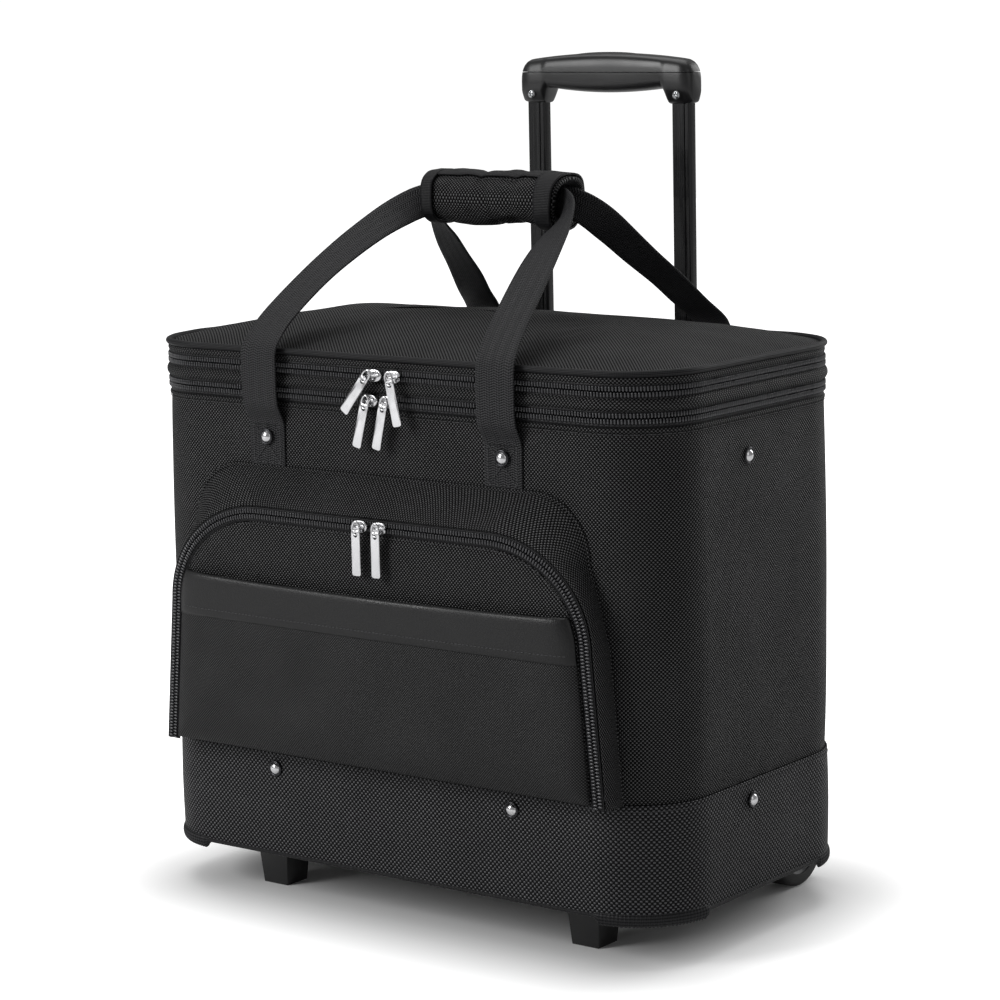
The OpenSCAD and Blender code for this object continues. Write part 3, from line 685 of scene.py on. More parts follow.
def teeth_row(name, points, outward, side, phase):
    """One half of a coil zip: a rounded turn of nylon every pitch, its head at the middle line."""
    pitch = sizes().tooth_pitch
    points, outward = np.asarray(points, float), np.asarray(outward, float)
    along = unit(np.gradient(points, axis=0))
    at, run, out = spaced(points, pitch, phase, along, outward)
    run, out = unit(run), unit(out)
    across = unit(np.cross(out, run)) * side
    axes = np.stack([across, run, out], 1)
    return scattered(name, pill(3.5 * MM, pitch * 0.66, 1.7 * MM, 0.2), at + across * 1.95 * MM, axes)


def lattice_noise(x, y, seed):
    """Smooth random hills one unit apart, from -1 to 1."""
    def corner(i, j):
        value = np.sin(i * 127.1 + j * 311.7 + seed * 74.7) * 43758.5453
        return 2 * (value - np.floor(value)) - 1
    i, j = np.floor(x), np.floor(y)
    a, b = x - i, y - j
    a, b = a * a * (3 - 2 * a), b * b * (3 - 2 * b)
    low = corner(i, j) * (1 - a) + corner(i + 1, j) * a
    high = corner(i, j + 1) * (1 - a) + corner(i + 1, j + 1) * a
    return low * (1 - b) + high * b


def smooth(x):
    """A soft step from 0 to 1."""
    x = np.clip(x, 0, 1)
    return x * x * (3 - 2 * x)


def around(s):
    """Points and outward directions round the bag at running lengths from the middle of its back."""
    a, b, r = HALF_W - CORNER_R, HALF_D - CORNER_R, CORNER_R
    quarter = math.pi * r / 2
    s = np.mod(s, ROUND)
    knots = np.cumsum([0, a, quarter, 2 * b, quarter, 2 * a, quarter, 2 * b, quarter, a])
    x = np.interp(s, knots, [0, -a, -a, -a, -a, a, a, a, a, 0])
    y = np.interp(s, knots, [b, b, b, -b, -b, -b, -b, b, b, b])
    turn = np.interp(s, knots, np.radians([90, 90, 180, 180, 270, 270, 360, 360, 450, 450]))
    out = np.stack([np.cos(turn), np.sin(turn)], -1)
    return np.stack([x, y + CENTRE_Y], -1) + out * r, out


def band_round(name, offsets, heights, step=4.5 * MM, span=None):
    """A closed section swept round the bag. offsets and heights are functions of the running length,
    or plain rows; span limits the sweep to a part of the way round."""
    if span is None:
        count = int(ROUND / step)
        s = np.arange(count) * ROUND / count
    else:
        s = np.linspace(span[0], span[1], int((span[1] - span[0]) / step) + 1)
    line, out = around(s)
    off = offsets(s) if callable(offsets) else np.tile(offsets, (len(s), 1))
    z = heights(s) if callable(heights) else np.tile(heights, (len(s), 1))
    xy = line[:, None] + out[:, None] * off[..., None]
    grid = np.concatenate([xy, z[..., None]], -1)
    mean = np.stack([off.mean(0), z.mean(0)], -1)
    run = lengths(np.concatenate([mean, mean[:1]]))
    ring = span is None
    u = np.append(s, ROUND) if ring else s
    uv = np.stack(np.meshgrid(u, run, indexing="ij"), -1)
    return skin(name, grid, uv, wrap_i=ring, wrap_j=True)


def line_round(offset, z, span=None, step=3 * MM):
    """Points and outward directions along a level line round the bag."""
    start, end = span or (0, ROUND)
    s = np.linspace(start, end, int((end - start) / step) + 1)
    line, out = around(s)
    points = np.column_stack([line + out * offset, np.full(len(s), z)])
    return points, np.column_stack([out, np.zeros(len(s))])


def place(piece, body, slot, material, *stands_for):
    """Gives a piece its material and its body, and hides the CAD nodes that it stands for. slot is not used.
    """
    piece.data.materials.clear()
    piece.data.materials.append(material)
    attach(piece, body)
    if stands_for:
        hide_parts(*stands_for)
    return piece


def bend(piece, slot, material, bodies, start, end, *stands_for):
    """Gives a piece its material, moves its placing into its mesh and hides the CAD nodes that it stands for.
    slot, bodies, start and end are not used.
    """
    piece.data.materials.append(material)
    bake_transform(piece)
    if stands_for:
        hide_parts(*stands_for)


def dress(material, *nodes):
    """A better material on CAD nodes that keep their shape."""
    for name in nodes:
        node = frame["nodes"][name]
        for held in node.material_slots:
            held.material = material
        if not node.material_slots:
            node.data.materials.append(material)


def cut(piece, low, high):
    """Cuts a box out of a piece."""
    (x0, y0, z0), (x1, y1, z1) = low, high
    tool = extruded("cutter", [(x0, y0), (x1, y0), (x1, y1), (x0, y1)], z0, z1, "Z")
    settle(piece, ("BOOLEAN", {"operation": "DIFFERENCE", "object": tool, "solver": "EXACT"}))
    bpy.data.objects.remove(tool)
    return piece


def cut_wheel_wells(piece):
    """Room for both wheel housings."""
    low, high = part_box("wheel_housings")
    inner = high.x - 38 * MM
    for side in (-1, 1):
        x0, x1 = sorted((side * (inner - 0.2 * MM), side * (high.x + 0.2 * MM)))
        cut(piece, (x0, low.y - 0.2 * MM, -0.01), (x1, BACK_Y + 0.05, high.z + 0.2 * MM))
    return piece


# Body of the bag


def wall_swell(s, z):
    """How far the padded wall stands out, with slow ripples and puckers along both of its seams."""
    out = around(s)[1]
    share = np.clip((z - BAND_HIGH.z) / (WALL_TOP - BAND_HIGH.z), 0, 1)
    full = 0.8 * MM + (sizes().wall_swell - 0.8 * MM) * out[..., 0] ** 2
    rise = np.sin(np.pi * share) ** 0.8
    ripples = 0.5 * MM * lattice_noise(s / 0.045, z / 0.07, 3) * rise
    edge = np.minimum(WALL_TOP - z, np.abs(z - BAND_HIGH.z))
    puckers = 0.3 * MM * lattice_noise(s / 0.011, z / 0.03, 5) * np.exp(-edge / 0.012)
    return full * rise + ripples + puckers


def make_hinge():
    """Panel at the back between the zips' ends, and the strip of cloth that the lid bends on."""
    low, high = WALL_TOP - 0.4 * MM, COVER_HIGH.z
    section = np.array([[0.4, 0], [0.9, 4], [1.0, 12], [0.8, 20], [0.1, 23.2], [-2.5, 23.2], [-4.6, 22.6],
                        [-5, 12], [-5, 0]]) * MM
    section[:, 1] *= (high - low) / section[:, 1].max()
    panel = band_round("rear_hinge_panel", section[:, 0], low + section[:, 1],
                       span=(-ZIP_START + 1.5 * MM, ZIP_START - 1.5 * MM))
    place(panel, "bag", "ballistic_nylon", finish(ballistic_nylon), "outer_cover")

    heights = np.linspace(UPPER_ZIP_Z - 5 * MM, UPPER_ZIP_Z + 9 * MM, 15)
    bulge = 1.1 * MM + 0.5 * MM * np.sin(np.linspace(0, math.pi, 15))
    strip = band_round("lid_hinge_cloth", np.concatenate([bulge, bulge[::-1] - 1.0 * MM]),
                       np.concatenate([heights, heights[::-1]]),
                       span=(-ZIP_START + 1 * MM, ZIP_START - 1 * MM))
    bend(strip, "ballistic_nylon", finish(ballistic_nylon), ("bag", "lid_top"),
         (0, BACK_Y, UPPER_ZIP_Z - 2 * MM), (0, BACK_Y, UPPER_ZIP_Z + 4 * MM))


def make_cover():
    """Body fabric on its foam: swollen side walls with a turned hem under the zip."""
    outer_z = np.linspace(COVER_LOW.z, WALL_TOP - 3.2 * MM, 62)
    hem = np.array([[0.9, -2.6], [1.1, -1.6], [0.9, -0.6], [0.1, 0], [-2, 0.1], [-4.6, 0]]) * MM
    inner_z = np.linspace(WALL_TOP - 1 * MM, COVER_LOW.z, 12)

    def offsets(s):
        swell = wall_swell(s[:, None], outer_z[None])
        rest = np.concatenate([hem[:, 0], np.full(len(inner_z), -WALL_T)])
        return np.concatenate([swell, np.tile(rest, (len(s), 1))], 1)

    heights = np.concatenate([outer_z, WALL_TOP + hem[:, 1], inner_z])
    cover = cut_wheel_wells(band_round("body_fabric", offsets, heights))
    place(cover, "bag", "ballistic_nylon", finish(ballistic_nylon), "outer_cover")
    make_hinge()
    line = thread_line("hem_stitches", *line_round(0.55 * MM, WALL_TOP - 4.2 * MM))
    place(line, "bag", "edge_binding", finish(sewing_thread))


def make_binding():
    """Bound bottom edge: a thin roll, thicker and ribbed round the corners."""
    turn = np.radians(np.linspace(-100, 190, 15))
    base_z = BAND_LOW.z + 2.6 * MM

    def corner(s):
        out = around(s)[1]
        return smooth(np.abs(out[:, 0] * out[:, 1]) / 0.1)[:, None]

    def rib(s):
        return 0.45 * MM * np.abs(np.sin(math.pi * s / (2.6 * MM)))[:, None] * corner(s)

    def bound_offsets(s):
        return 1.0 * MM + (1.6 * MM + 0.5 * MM * corner(s) + rib(s)) * np.cos(turn)[None]

    def bound_heights(s):
        middle = base_z - (0.4 + 1.5 * corner(s)) * MM
        return middle + (1.7 * MM + 2.8 * MM * corner(s) + rib(s)) * np.sin(turn)[None]

    binding = band_round("base_binding", bound_offsets, bound_heights, step=0.65 * MM)
    cut_wheel_wells(binding)
    place(binding, "bag", "edge_binding", finish(tape), "bottom_binding")


def make_band():
    """Coated band round the base, with its turned top edge and stitching."""
    low, high = BAND_LOW.z, BAND_HIGH.z
    outer_z = np.linspace(low + 1 * MM, high - 2.4 * MM, 20)

    def offsets(s):
        share = (outer_z[None] - low) / (high - low)
        ripples = 0.35 * MM * lattice_noise(s[:, None] / 0.06, outer_z[None] / 0.05, 11)
        swell = BAND_T + 0.5 * MM * np.sin(np.pi * share) + ripples * np.sin(np.pi * share)
        rest = np.array([1.9, 1.7, 1.1, 0.3, 0.02, 0.02, 0.02]) * MM
        return np.concatenate([swell, np.tile(rest, (len(s), 1))], 1)

    heights = np.concatenate([outer_z, np.array([high - 1.2 * MM, high - 0.4 * MM, high, high, high - 2 * MM,
                                                 (low + high) / 2, low])])
    band = cut_wheel_wells(band_round("lower_band", offsets, heights))
    place(band, "bag", "band_weave", finish(band_cloth), "skirt_band")
    line = thread_line("lower_band_stitches", *line_round(BAND_T + 0.25 * MM, high - 4.2 * MM))
    place(line, "bag", "edge_binding", finish(sewing_thread))
    make_binding()


# Lids and zips


def disc_of(offset, heights, shares):
    """Rings that shrink from the bag's outline to a line along its middle, one ring for each share."""
    count = int(ROUND / (5 * MM))
    s = np.arange(count) * ROUND / count
    line, out = around(s)
    edge = line + out * offset
    core = np.stack([np.clip(edge[:, 0], -(HALF_W - HALF_D), HALF_W - HALF_D), np.full(count, CENTRE_Y)], -1)
    rings = edge[:, None] * (1 - shares)[None, :, None] + core[:, None] * shares[None, :, None]
    z = np.tile(heights, (count, 1))
    return np.concatenate([rings, z[..., None]], -1)


def puffed(piece, group, pressure, cap, frames=20):
    """Lets air push the cloth out for a few frames, and keeps each point within the cap of its start."""
    start = np.array([v.co for v in piece.data.vertices])
    modifier = piece.modifiers.new("cloth", "CLOTH")
    cloth = modifier.settings
    cloth.use_pressure = True
    cloth.uniform_pressure_force = pressure
    cloth.effector_weights.gravity = 0.0
    cloth.quality = 6
    cloth.mass = 0.25
    cloth.tension_stiffness = cloth.compression_stiffness = 25
    cloth.bending_stiffness = 0.6
    cloth.vertex_group_mass = group
    modifier.collision_settings.use_collision = False
    scene = bpy.context.scene
    for k in range(1, frames + 1):
        scene.frame_set(k)
    graph = bpy.context.evaluated_depsgraph_get()
    moved = np.array([v.co for v in piece.evaluated_get(graph).data.vertices])
    piece.modifiers.clear()
    scene.frame_set(1)
    shift = moved - start
    size = np.linalg.norm(shift, axis=1, keepdims=True)
    shift *= cap * np.tanh(size / cap) / np.maximum(size, 1e-9)
    piece.data.vertices.foreach_set("co", (start + shift).astype(np.float32).ravel())
    piece.data.update()
    return piece


def pinned(piece, weights):
    """A vertex group that holds a piece where its weight is 1."""
    group = piece.vertex_groups.new(name="held")
    for k, weight in enumerate(weights):
        if weight > 0:
            group.add([k], float(weight), "REPLACE")
    return "held"


def make_crown():
    """Crowned top panel of the lid, lined underneath."""
    shares = np.concatenate([[0.0, 0.015, 0.035], np.linspace(0.06, 1.0, 22)])
    crown = LID_TOP_Z - PIPING_Z
    top_z = PIPING_Z - 0.6 * MM + crown * (1 - (1 - shares) ** 2)
    under_z = np.full(5, UPPER_ZIP_Z + 3.4 * MM)
    top = disc_of(-1.2 * MM, top_z, shares)
    under = disc_of(-2.4 * MM, under_z, np.linspace(1, 0, 5))
    grid = np.concatenate([under, top], 1)
    x, y = grid[..., 0], grid[..., 1]
    edge_share = np.concatenate([np.zeros(5), shares])[None]
    fold = lattice_noise(x / 0.05, y / 0.035, 21) + 0.5 * lattice_noise(x / 0.022, y / 0.02, 22)
    s = np.linspace(0, ROUND, len(grid), endpoint=False)[:, None]
    puckers = lattice_noise(s / 0.013, edge_share * 3, 23) * np.exp(-edge_share / 0.1)
    lift = 0.9 * MM * fold * np.sin(np.pi * np.clip(edge_share, 0, 1)) ** 0.5 + 0.7 * MM * puckers
    grid[..., 2] += np.where(edge_share > 0.01, lift, 0)
    uv = np.concatenate([grid[..., :2], grid[:1, :, :2]])
    panel = skin("lid_crown", grid, uv, wrap_i=True)
    weld(panel.data)
    low = PIPING_Z + 0.2 * MM
    weights = [1.0 if v.co.z < low else 0.0 for v in panel.data.vertices]
    puffed(panel, pinned(panel, weights), 0.35, sizes().lid_swell)
    place(panel, "lid_top", "ballistic_nylon", finish(ballistic_nylon), "lid_top_panel")
    panel.data.materials.append(finish(lining_cloth))
    for face in panel.data.polygons:
        if face.center.z < UPPER_ZIP_Z + 4 * MM:
            face.material_index = 1


def make_lid_side():
    """Narrow band of cloth between the upper zip and the piping."""
    section = np.array([[0.1, 4.2], [0.9, 5.2], [1.4, 7.0], [1.2, 8.6], [0.2, 9.9], [-2.0, 10.4],
                        [-4.0, 10.2], [-4.2, 6.5], [-4.0, 3.6], [-1.6, 3.6]]) * MM

    def offsets(s):
        ripple_ = 0.3 * MM * lattice_noise(s / 0.02, s * 0, 31)[:, None]
        return section[None, :, 0] + ripple_ * (section[None, :, 0] > 0)

    side = band_round("lid_side_band", offsets, UPPER_ZIP_Z + section[:, 1])
    place(side, "lid_top", "ballistic_nylon", finish(ballistic_nylon))


def make_piping():
    """Covered cord round the edge of the top panel."""
    turn = np.linspace(0, 2 * math.pi, 14, endpoint=False)

    def cord_offsets(s):
        wave = 0.25 * MM * lattice_noise(s / 0.015, s * 0, 33)[:, None]
        return 0.6 * MM + wave + 2.3 * MM * np.cos(turn)[None]

    def cord_heights(s):
        wave = 0.2 * MM * lattice_noise(s / 0.02, s * 0 + 1, 34)[:, None]
        return PIPING_Z + wave + 2.3 * MM * np.sin(turn)[None]

    piping = band_round("covered_piping", cord_offsets, cord_heights, step=2.5 * MM)
    place(piping, "lid_top", "edge_binding", finish(tape), "lid_piping")


def make_lid():
    """Crowned top panel of the lid, its side band and its covered piping."""
    make_crown()
    make_lid_side()
    make_piping()


def make_tray():
    """Rolled fabric wall of the flat lid compartment, between the two zips."""
    section = np.array([[-1.3, 3.4], [0.2, 4.3], [1.7, 5.4], [2.6, 7.2], [2.75, 8.75], [2.6, 10.3],
                        [1.7, 12.1], [0.2, 13.2], [-1.3, 14.1], [-5.2, 14.1], [-5.2, 3.4]]) * MM

    def offsets(s):
        ripple_ = 0.35 * MM * lattice_noise(s / 0.016, s * 0, 41)[:, None]
        return section[None, :, 0] + ripple_ * (section[None, :, 0] > 0)

    span = (ZIP_START + 1 * MM, ROUND - ZIP_START - 1 * MM)
    wall = band_round("tray_roll", offsets, LOWER_ZIP_Z + section[:, 1], step=4 * MM, span=span)
    place(wall, "lid_tray", "ballistic_nylon", finish(ballistic_nylon), "tray_wall")
    dress(finish(lining_cloth), "tray_floor")


def make_zips():
    """Both zips round the bag: tape, teeth and the stitching of each half."""
    span = (ZIP_START, ROUND - ZIP_START)
    rows = (
        ("lower_zip_lower", LOWER_ZIP_Z, -1, "bag", "lower_zip_body_half"),
        ("lower_zip_upper", LOWER_ZIP_Z, 1, "lid_tray", "tray_zip_halves"),
        ("upper_zip_lower", UPPER_ZIP_Z, -1, "lid_tray", "tray_zip_halves"),
        ("upper_zip_upper", UPPER_ZIP_Z, 1, "lid_top", "upper_zip_lid_half"),
    )
    for name, z, side, body, node in rows:
        section = np.array([[-1.0, 0.35], [0.15, 0.35], [0.25, 2.5], [0.2, 6.2], [-1.0, 6.2]]) * MM
        strip = band_round(name + "_tape", section[:, 0], z + side * section[:, 1], span=span)
        place(strip, body, "zip_coil", finish(tape), node)
        points, outward = line_round(0.9 * MM, z, span, step=1.5 * MM)
        teeth = teeth_row(name + "_teeth", points, outward, side, 0.5 if side > 0 else 1.0)
        place(teeth, body, "zip_coil", finish(zip_nylon))
        points, outward = line_round(0.35 * MM, z + side * 4.5 * MM, span)
        line = thread_line(name + "_stitches", points, outward, width=0.5 * MM)
        place(line, body, "zip_coil", finish(sewing_thread))


# Straps and handles


def through(stations, step=3 * MM):
    """A smooth line through stations, each a row of numbers whose first three are its place."""
    stations = np.asarray(stations, float)
    rows = np.concatenate([2 * stations[:1] - stations[1:2], stations, 2 * stations[-1:] - stations[-2:-1]])
    found = []
    for k in range(1, len(rows) - 2):
        p0, p1, p2, p3 = rows[k - 1 : k + 3]
        count = max(2, int(np.linalg.norm(p2[:3] - p1[:3]) / step))
        t = np.linspace(0, 1, count, endpoint=False)[:, None]
        found.append(0.5 * (2 * p1 + (p2 - p0) * t + (2 * p0 - 5 * p1 + 4 * p2 - p3) * t**2
                            + (3 * p1 - p0 - 3 * p2 + p3) * t**3))
    return np.concatenate([*found, rows[-2:-1]])


def ribbon(name, stations, curl):
    """A strap through stations of place, direction across and width: flat, with round edges."""
    rows = through(stations)
    thickness = 1.6 * MM
    centre, across, width = rows[:, :3], rows[:, 3:6], rows[:, 6]
    along = unit(np.gradient(centre, axis=0))
    across = unit(across - along * (across * along).sum(1, keepdims=True))
    normal = np.cross(along, across)
    spots = np.linspace(-1, 1, 9)
    u = np.concatenate([spots, [1.0], spots[::-1], [-1.0]])
    height = np.concatenate([np.full(9, 0.5), [0.0], np.full(9, -0.5), [0.0]])
    inset = np.concatenate([[0.4, *np.zeros(7), 0.4], [0.0], [0.4, *np.zeros(7), 0.4], [0.0]]) * thickness
    side = u[None] * width[:, None] / 2 - np.sign(u)[None] * inset[None]
    lift = height[None] * thickness + curl * (1 - u[None] ** 2)
    grid = centre[:, None] + across[:, None] * side[..., None] + normal[:, None] * lift[..., None]
    run = lengths(centre)
    u_row = np.concatenate([side[0], side[0][:1]])
    uv = np.stack([np.tile(u_row, (len(rows), 1)), np.tile(run[:, None], (1, len(u_row)))], -1)
    return skin(name, grid, uv, wrap_j=True)


def both_sides(right):
    """Stations of a whole strap from those of its right half, in millimetres about the bag's middle."""
    right = np.array(right, float)
    left = right[::-1].copy()
    left[:, [0, 3]] *= -1
    whole = np.concatenate([right, left])
    whole[:, [0, 1, 2, 6]] *= MM
    whole[:, 1] += CENTRE_Y
    whole[:, 2] += LIFT
    return whole


# Stations of each strap's right half: place, direction across and width, in millimetres.
FRONT_STRAP = [
    [103, -123.5, 304, 1, 0, 0, 32], [103, -123.5, 320, 1, 0, 0, 32], [103, -123.7, 335, 1, 0, 0, 32],
    [103, -125.8, 341, 1, 0, 0, 32], [103, -129.6, 348, 1, 0, 0, 32], [103, -131.2, 357, 1, 0, 0, 32],
    [103, -131.4, 374, 1, 0, 0, 32], [103, -131.0, 387, 1, 0, 0, 32], [102, -126.5, 396, 1, 0, 0, 31.6],
    [99.5, -112, 411, 1, 0.05, 0.05, 31], [93, -82, 434, 1, 0.1, 0.1, 30.5],
    [85.5, -53, 453, 1, 0.15, 0.25, 30],
    [78, -26, 468, 0.9, 0.15, 0.45, 28], [70, -4, 478.5, 0.7, 0.1, 0.8, 25], [62, 7, 483.5, 0.35, 0, 1, 23],
    [53, 11.4, 485.6, 0.1, 0, 1, 22], [38, 12, 486, 0, 0, 1, 22], [12, 12, 486, 0, 0, 1, 22],
]
BACK_STRAP = [
    [103, 124.0, 304, 1, 0, 0, 32], [103, 124.0, 322, 1, 0, 0, 32], [103, 124.2, 338, 1, 0, 0, 32],
    [103, 126.5, 345, 1, 0, 0, 32], [103, 130.4, 356, 1, 0, 0, 32], [103, 131.3, 366, 1, 0, 0, 32],
    [103, 131.4, 380, 1, 0, 0, 32], [103, 130, 390, 1, 0, 0, 32], [101.5, 124, 398, 1, 0, 0, 32],
    [97, 109, 410, 1, 0, 0.05, 31.5], [91, 91, 426, 1, -0.1, 0.2, 31], [84, 68, 444, 1, -0.1, 0.35, 30],
    [77, 48.5, 461, 0.9, -0.1, 0.6, 28], [71, 34, 473.5, 0.7, 0, 0.9, 25], [64, 25, 481, 0.35, 0, 1, 23],
    [54, 21.6, 485, 0.1, 0, 1, 22], [38, 21, 486, 0, 0, 1, 22], [12, 21, 486, 0, 0, 1, 22],
]


def box_stitches(name, x, y, low, high, half_w, sign):
    """Box with a cross in it, sewn through a strap's tail."""
    corners = [(-half_w, low), (half_w, low), (half_w, high), (-half_w, high), (-half_w, low),
               (half_w, high), (-half_w, high), (half_w, low)]
    lines = []
    for (x0, z0), (x1, z1) in zip(corners, corners[1:]):
        points = np.linspace((x + x0, y, z0), (x + x1, y, z1), 12)
        outward = np.tile([0, sign, 0], (len(points), 1))
        lines.append(thread_line("line", points, outward, width=0.8 * MM, pitch=3.0 * MM))
    return joined(name, lines)


def make_straps():
    """Both carry handles: each one length of webbing from tail to tail, that bends over the lid's edge."""
    for face, stations, curl, y, low, high in (
        ("front", FRONT_STRAP, 0.25 * MM, FRONT_Y - 8.5 * MM, 387, 399),
        ("back", BACK_STRAP, -0.25 * MM, BACK_Y + 8.5 * MM, 360, 376),
    ):
        strap = ribbon(f"{face}_carry_strap", both_sides(stations), curl)
        bend(strap, "webbing", finish(webbing), ("bag", f"handle_{face}"), (0, y, LIFT + low * MM),
             (0, y, LIFT + high * MM), f"{face}_strap_tails", f"{face}_handle_webbing")
    tail_low, tail_high = LIFT + 308 * MM, LIFT + 335 * MM
    for face, y, sign in (("front", FRONT_Y - 1.9 * MM, -1), ("back", BACK_Y + 2.5 * MM, 1)):
        for side, word in ((-1, "left"), (1, "right")):
            sewn = box_stitches(f"{face}_{word}_strap_stitches", side * STRAP_X, y, tail_low, tail_high,
                                12 * MM, sign)
            place(sewn, "bag", "edge_binding", finish(sewing_thread))


def make_rivets():
    """Dome rivets: a bright cap in a dark rolled rim."""
    strap_z, side_z, band_z = LIFT + 326.5 * MM, LIFT + 323 * MM, LIFT + 87 * MM
    side_y = CENTRE_Y - 15 * MM
    spots = []
    for side in (-1, 1):
        spots += [
            ((side * STRAP_X, FRONT_Y - 2.5 * MM, strap_z), (0, -1, 0)),
            ((side * 105 * MM, FRONT_Y - 2.2 * MM, band_z), (0, -1, 0)),
            ((side * STRAP_X, BACK_Y + 2.8 * MM, strap_z), (0, 1, 0)),
            ((side * (HALF_W + 0.9 * MM), side_y, side_z), (side, 0, 0)),
            ((side * (HALF_W + 2.4 * MM), side_y, band_z), (side, 0, 0)),
        ]
    caps, rims = [], []
    for spot, axis in spots:
        dome = [(0.4 * MM + 2.6 * MM * math.cos(a) ** 1.2, 4.4 * MM * math.sin(a))
                for a in np.linspace(0, math.pi / 2 - 0.01, 10)]
        dome += [(-0.4 * MM, 4.4 * MM), (-0.4 * MM, 0.0)]
        caps.append(lathe("cap", dome, spot, axis, 32))
        ring = [(0.7 * MM + 0.8 * MM * math.sin(a), 5.1 * MM + 0.9 * MM * math.cos(a))
                for a in np.linspace(0, 2 * math.pi, 11)]
        rims.append(lathe("rim", ring, spot, axis, 32))
    place(joined("rivet_caps", caps), "bag", "chrome", finish(chrome), "dome_rivets")
    place(joined("rivet_rims", rims), "bag", "chrome", finish(black_nickel))


# Front pocket

POCKET_HALF_W = POCKET_HIGH.x
SHOULDER_X, SHOULDER_Z, SHOULDER_HALF_W = 100 * MM, LIFT + 205 * MM, 184 * MM
BACKING_HALF_W, BACKING_TOP, BACKING_R = 168 * MM, POCKET_HIGH.z, 40 * MM


def mirrored(right):
    """An arch from its right half, which runs from its foot to the middle of its top."""
    left = right[-2::-1] * [-1, 1]
    return np.concatenate([right, left])


def pocket_line(inset):
    """The zip's arch, set in by a distance, from its right foot over the top to its left foot."""
    foot, shoulder_end = (POCKET_HALF_W - inset, POCKET_BASE - 2 * MM), (SHOULDER_HALF_W - inset, SHOULDER_Z)
    side = np.linspace(foot, shoulder_end, 24)
    turn = np.linspace(0, math.pi / 2, 31)[1:, None]
    shoulder = np.concatenate([SHOULDER_X + (SHOULDER_HALF_W - SHOULDER_X - inset) * np.cos(turn),
                               SHOULDER_Z + (POCKET_TOP - SHOULDER_Z - inset) * np.sin(turn)], 1)
    top = np.linspace((SHOULDER_X, POCKET_TOP - inset), (0, POCKET_TOP - inset), 27)[1:]
    return mirrored(np.concatenate([side, shoulder, top]))


def backing_line():
    """The arch where the pocket's gusset is sewn to the front wall, with as many points as the zip's."""
    bend_start = (SHOULDER_HALF_W + 2 * MM, SHOULDER_Z)
    side = np.linspace((POCKET_HALF_W + 1.5 * MM, POCKET_BASE - 2 * MM), bend_start, 24)
    rise = np.linspace(bend_start, (BACKING_HALF_W + 3 * MM, BACKING_TOP - 43 * MM), 15)[1:]
    turn = np.linspace(0, math.pi / 2, 17)[1:, None]
    corner = np.concatenate([BACKING_HALF_W - BACKING_R + (BACKING_R + 3 * MM) * np.cos(turn),
                             BACKING_TOP - BACKING_R - 3 * MM + (BACKING_R + 3 * MM) * np.sin(turn)], 1)
    top = np.linspace((BACKING_HALF_W - BACKING_R, BACKING_TOP), (0, BACKING_TOP), 27)[1:]
    return mirrored(np.concatenate([side, rise, corner, top]))


def tube_along(name, points, radius, sides=8, squash=1.0):
    """A round cord along points."""
    points = np.asarray(points, float)
    along = unit(np.gradient(points, axis=0))
    guide = np.array([0.0, 1, 0]) if np.abs(along[:, 1]).mean() < 0.7 else np.array([0.0, 0, 1])
    side = unit(np.cross(along, guide))
    up = np.cross(side, along)
    turn = np.linspace(0, 2 * math.pi, sides, endpoint=False)
    grid = (points[:, None] + side[:, None] * np.cos(turn)[None, :, None] * radius
            + up[:, None] * np.sin(turn)[None, :, None] * radius * squash)
    run = lengths(points)
    uv = np.stack(np.meshgrid(run, np.linspace(0, 2 * math.pi * radius, sides + 1), indexing="ij"), -1)
    return skin(name, grid, uv, wrap_j=True)


def thick(name, grid, depth, uv):
    """A net of points made into a closed sheet of some thickness, towards its inner side."""
    along = np.gradient(grid, axis=0)
    across = np.gradient(grid, axis=1)
    normal = unit(np.cross(along, across))
    return slab_of(name, grid, grid - normal * depth, uv)


def arch_strip(inset_a, inset_b, y, rows=4):
    """Net of points between two insets of the zip's arch, at a depth."""
    shares = np.linspace(0, 1, rows)[None, :, None]
    a, b = pocket_line(inset_a), pocket_line(inset_b)
    flat = a[:, None] * (1 - shares) + b[:, None] * shares
    return np.stack([flat[..., 0], np.full(flat.shape[:2], y), flat[..., 1]], -1)


def strip_uv(grid):
    """Metre coordinates of a strip: along it and across it."""
    run = lengths(grid[:, 0])
    across = lengths(grid[len(grid) // 2])
    return np.stack(np.meshgrid(run, across, indexing="ij"), -1)


def half_width(z, inset):
    """Half the width of the zip's arch at a height."""
    foot = POCKET_HALF_W - inset
    shoulder = SHOULDER_HALF_W - inset
    straight = foot + (shoulder - foot) * (z - POCKET_BASE) / (SHOULDER_Z - POCKET_BASE)
    rise = np.clip((z - SHOULDER_Z) / (POCKET_TOP - inset - SHOULDER_Z), 0, 1)
    arch = SHOULDER_X + (shoulder - SHOULDER_X) * np.sqrt(1 - rise**2)
    return np.where(z < SHOULDER_Z, straight, arch)


def arch_grid(low, high, inset, rows, columns=90):
    """Net of points that fills the arch between two heights, with each point's distance from the arch."""
    z = np.linspace(low, high, rows)[:, None] * np.ones((1, columns))
    u = np.linspace(-1, 1, columns)[None]
    half = half_width(z, inset)
    x = half * np.sign(u) * np.abs(u) ** 0.9
    reach = np.minimum(half - np.abs(x), np.maximum(POCKET_TOP - inset - z, 0))
    return x, z, reach


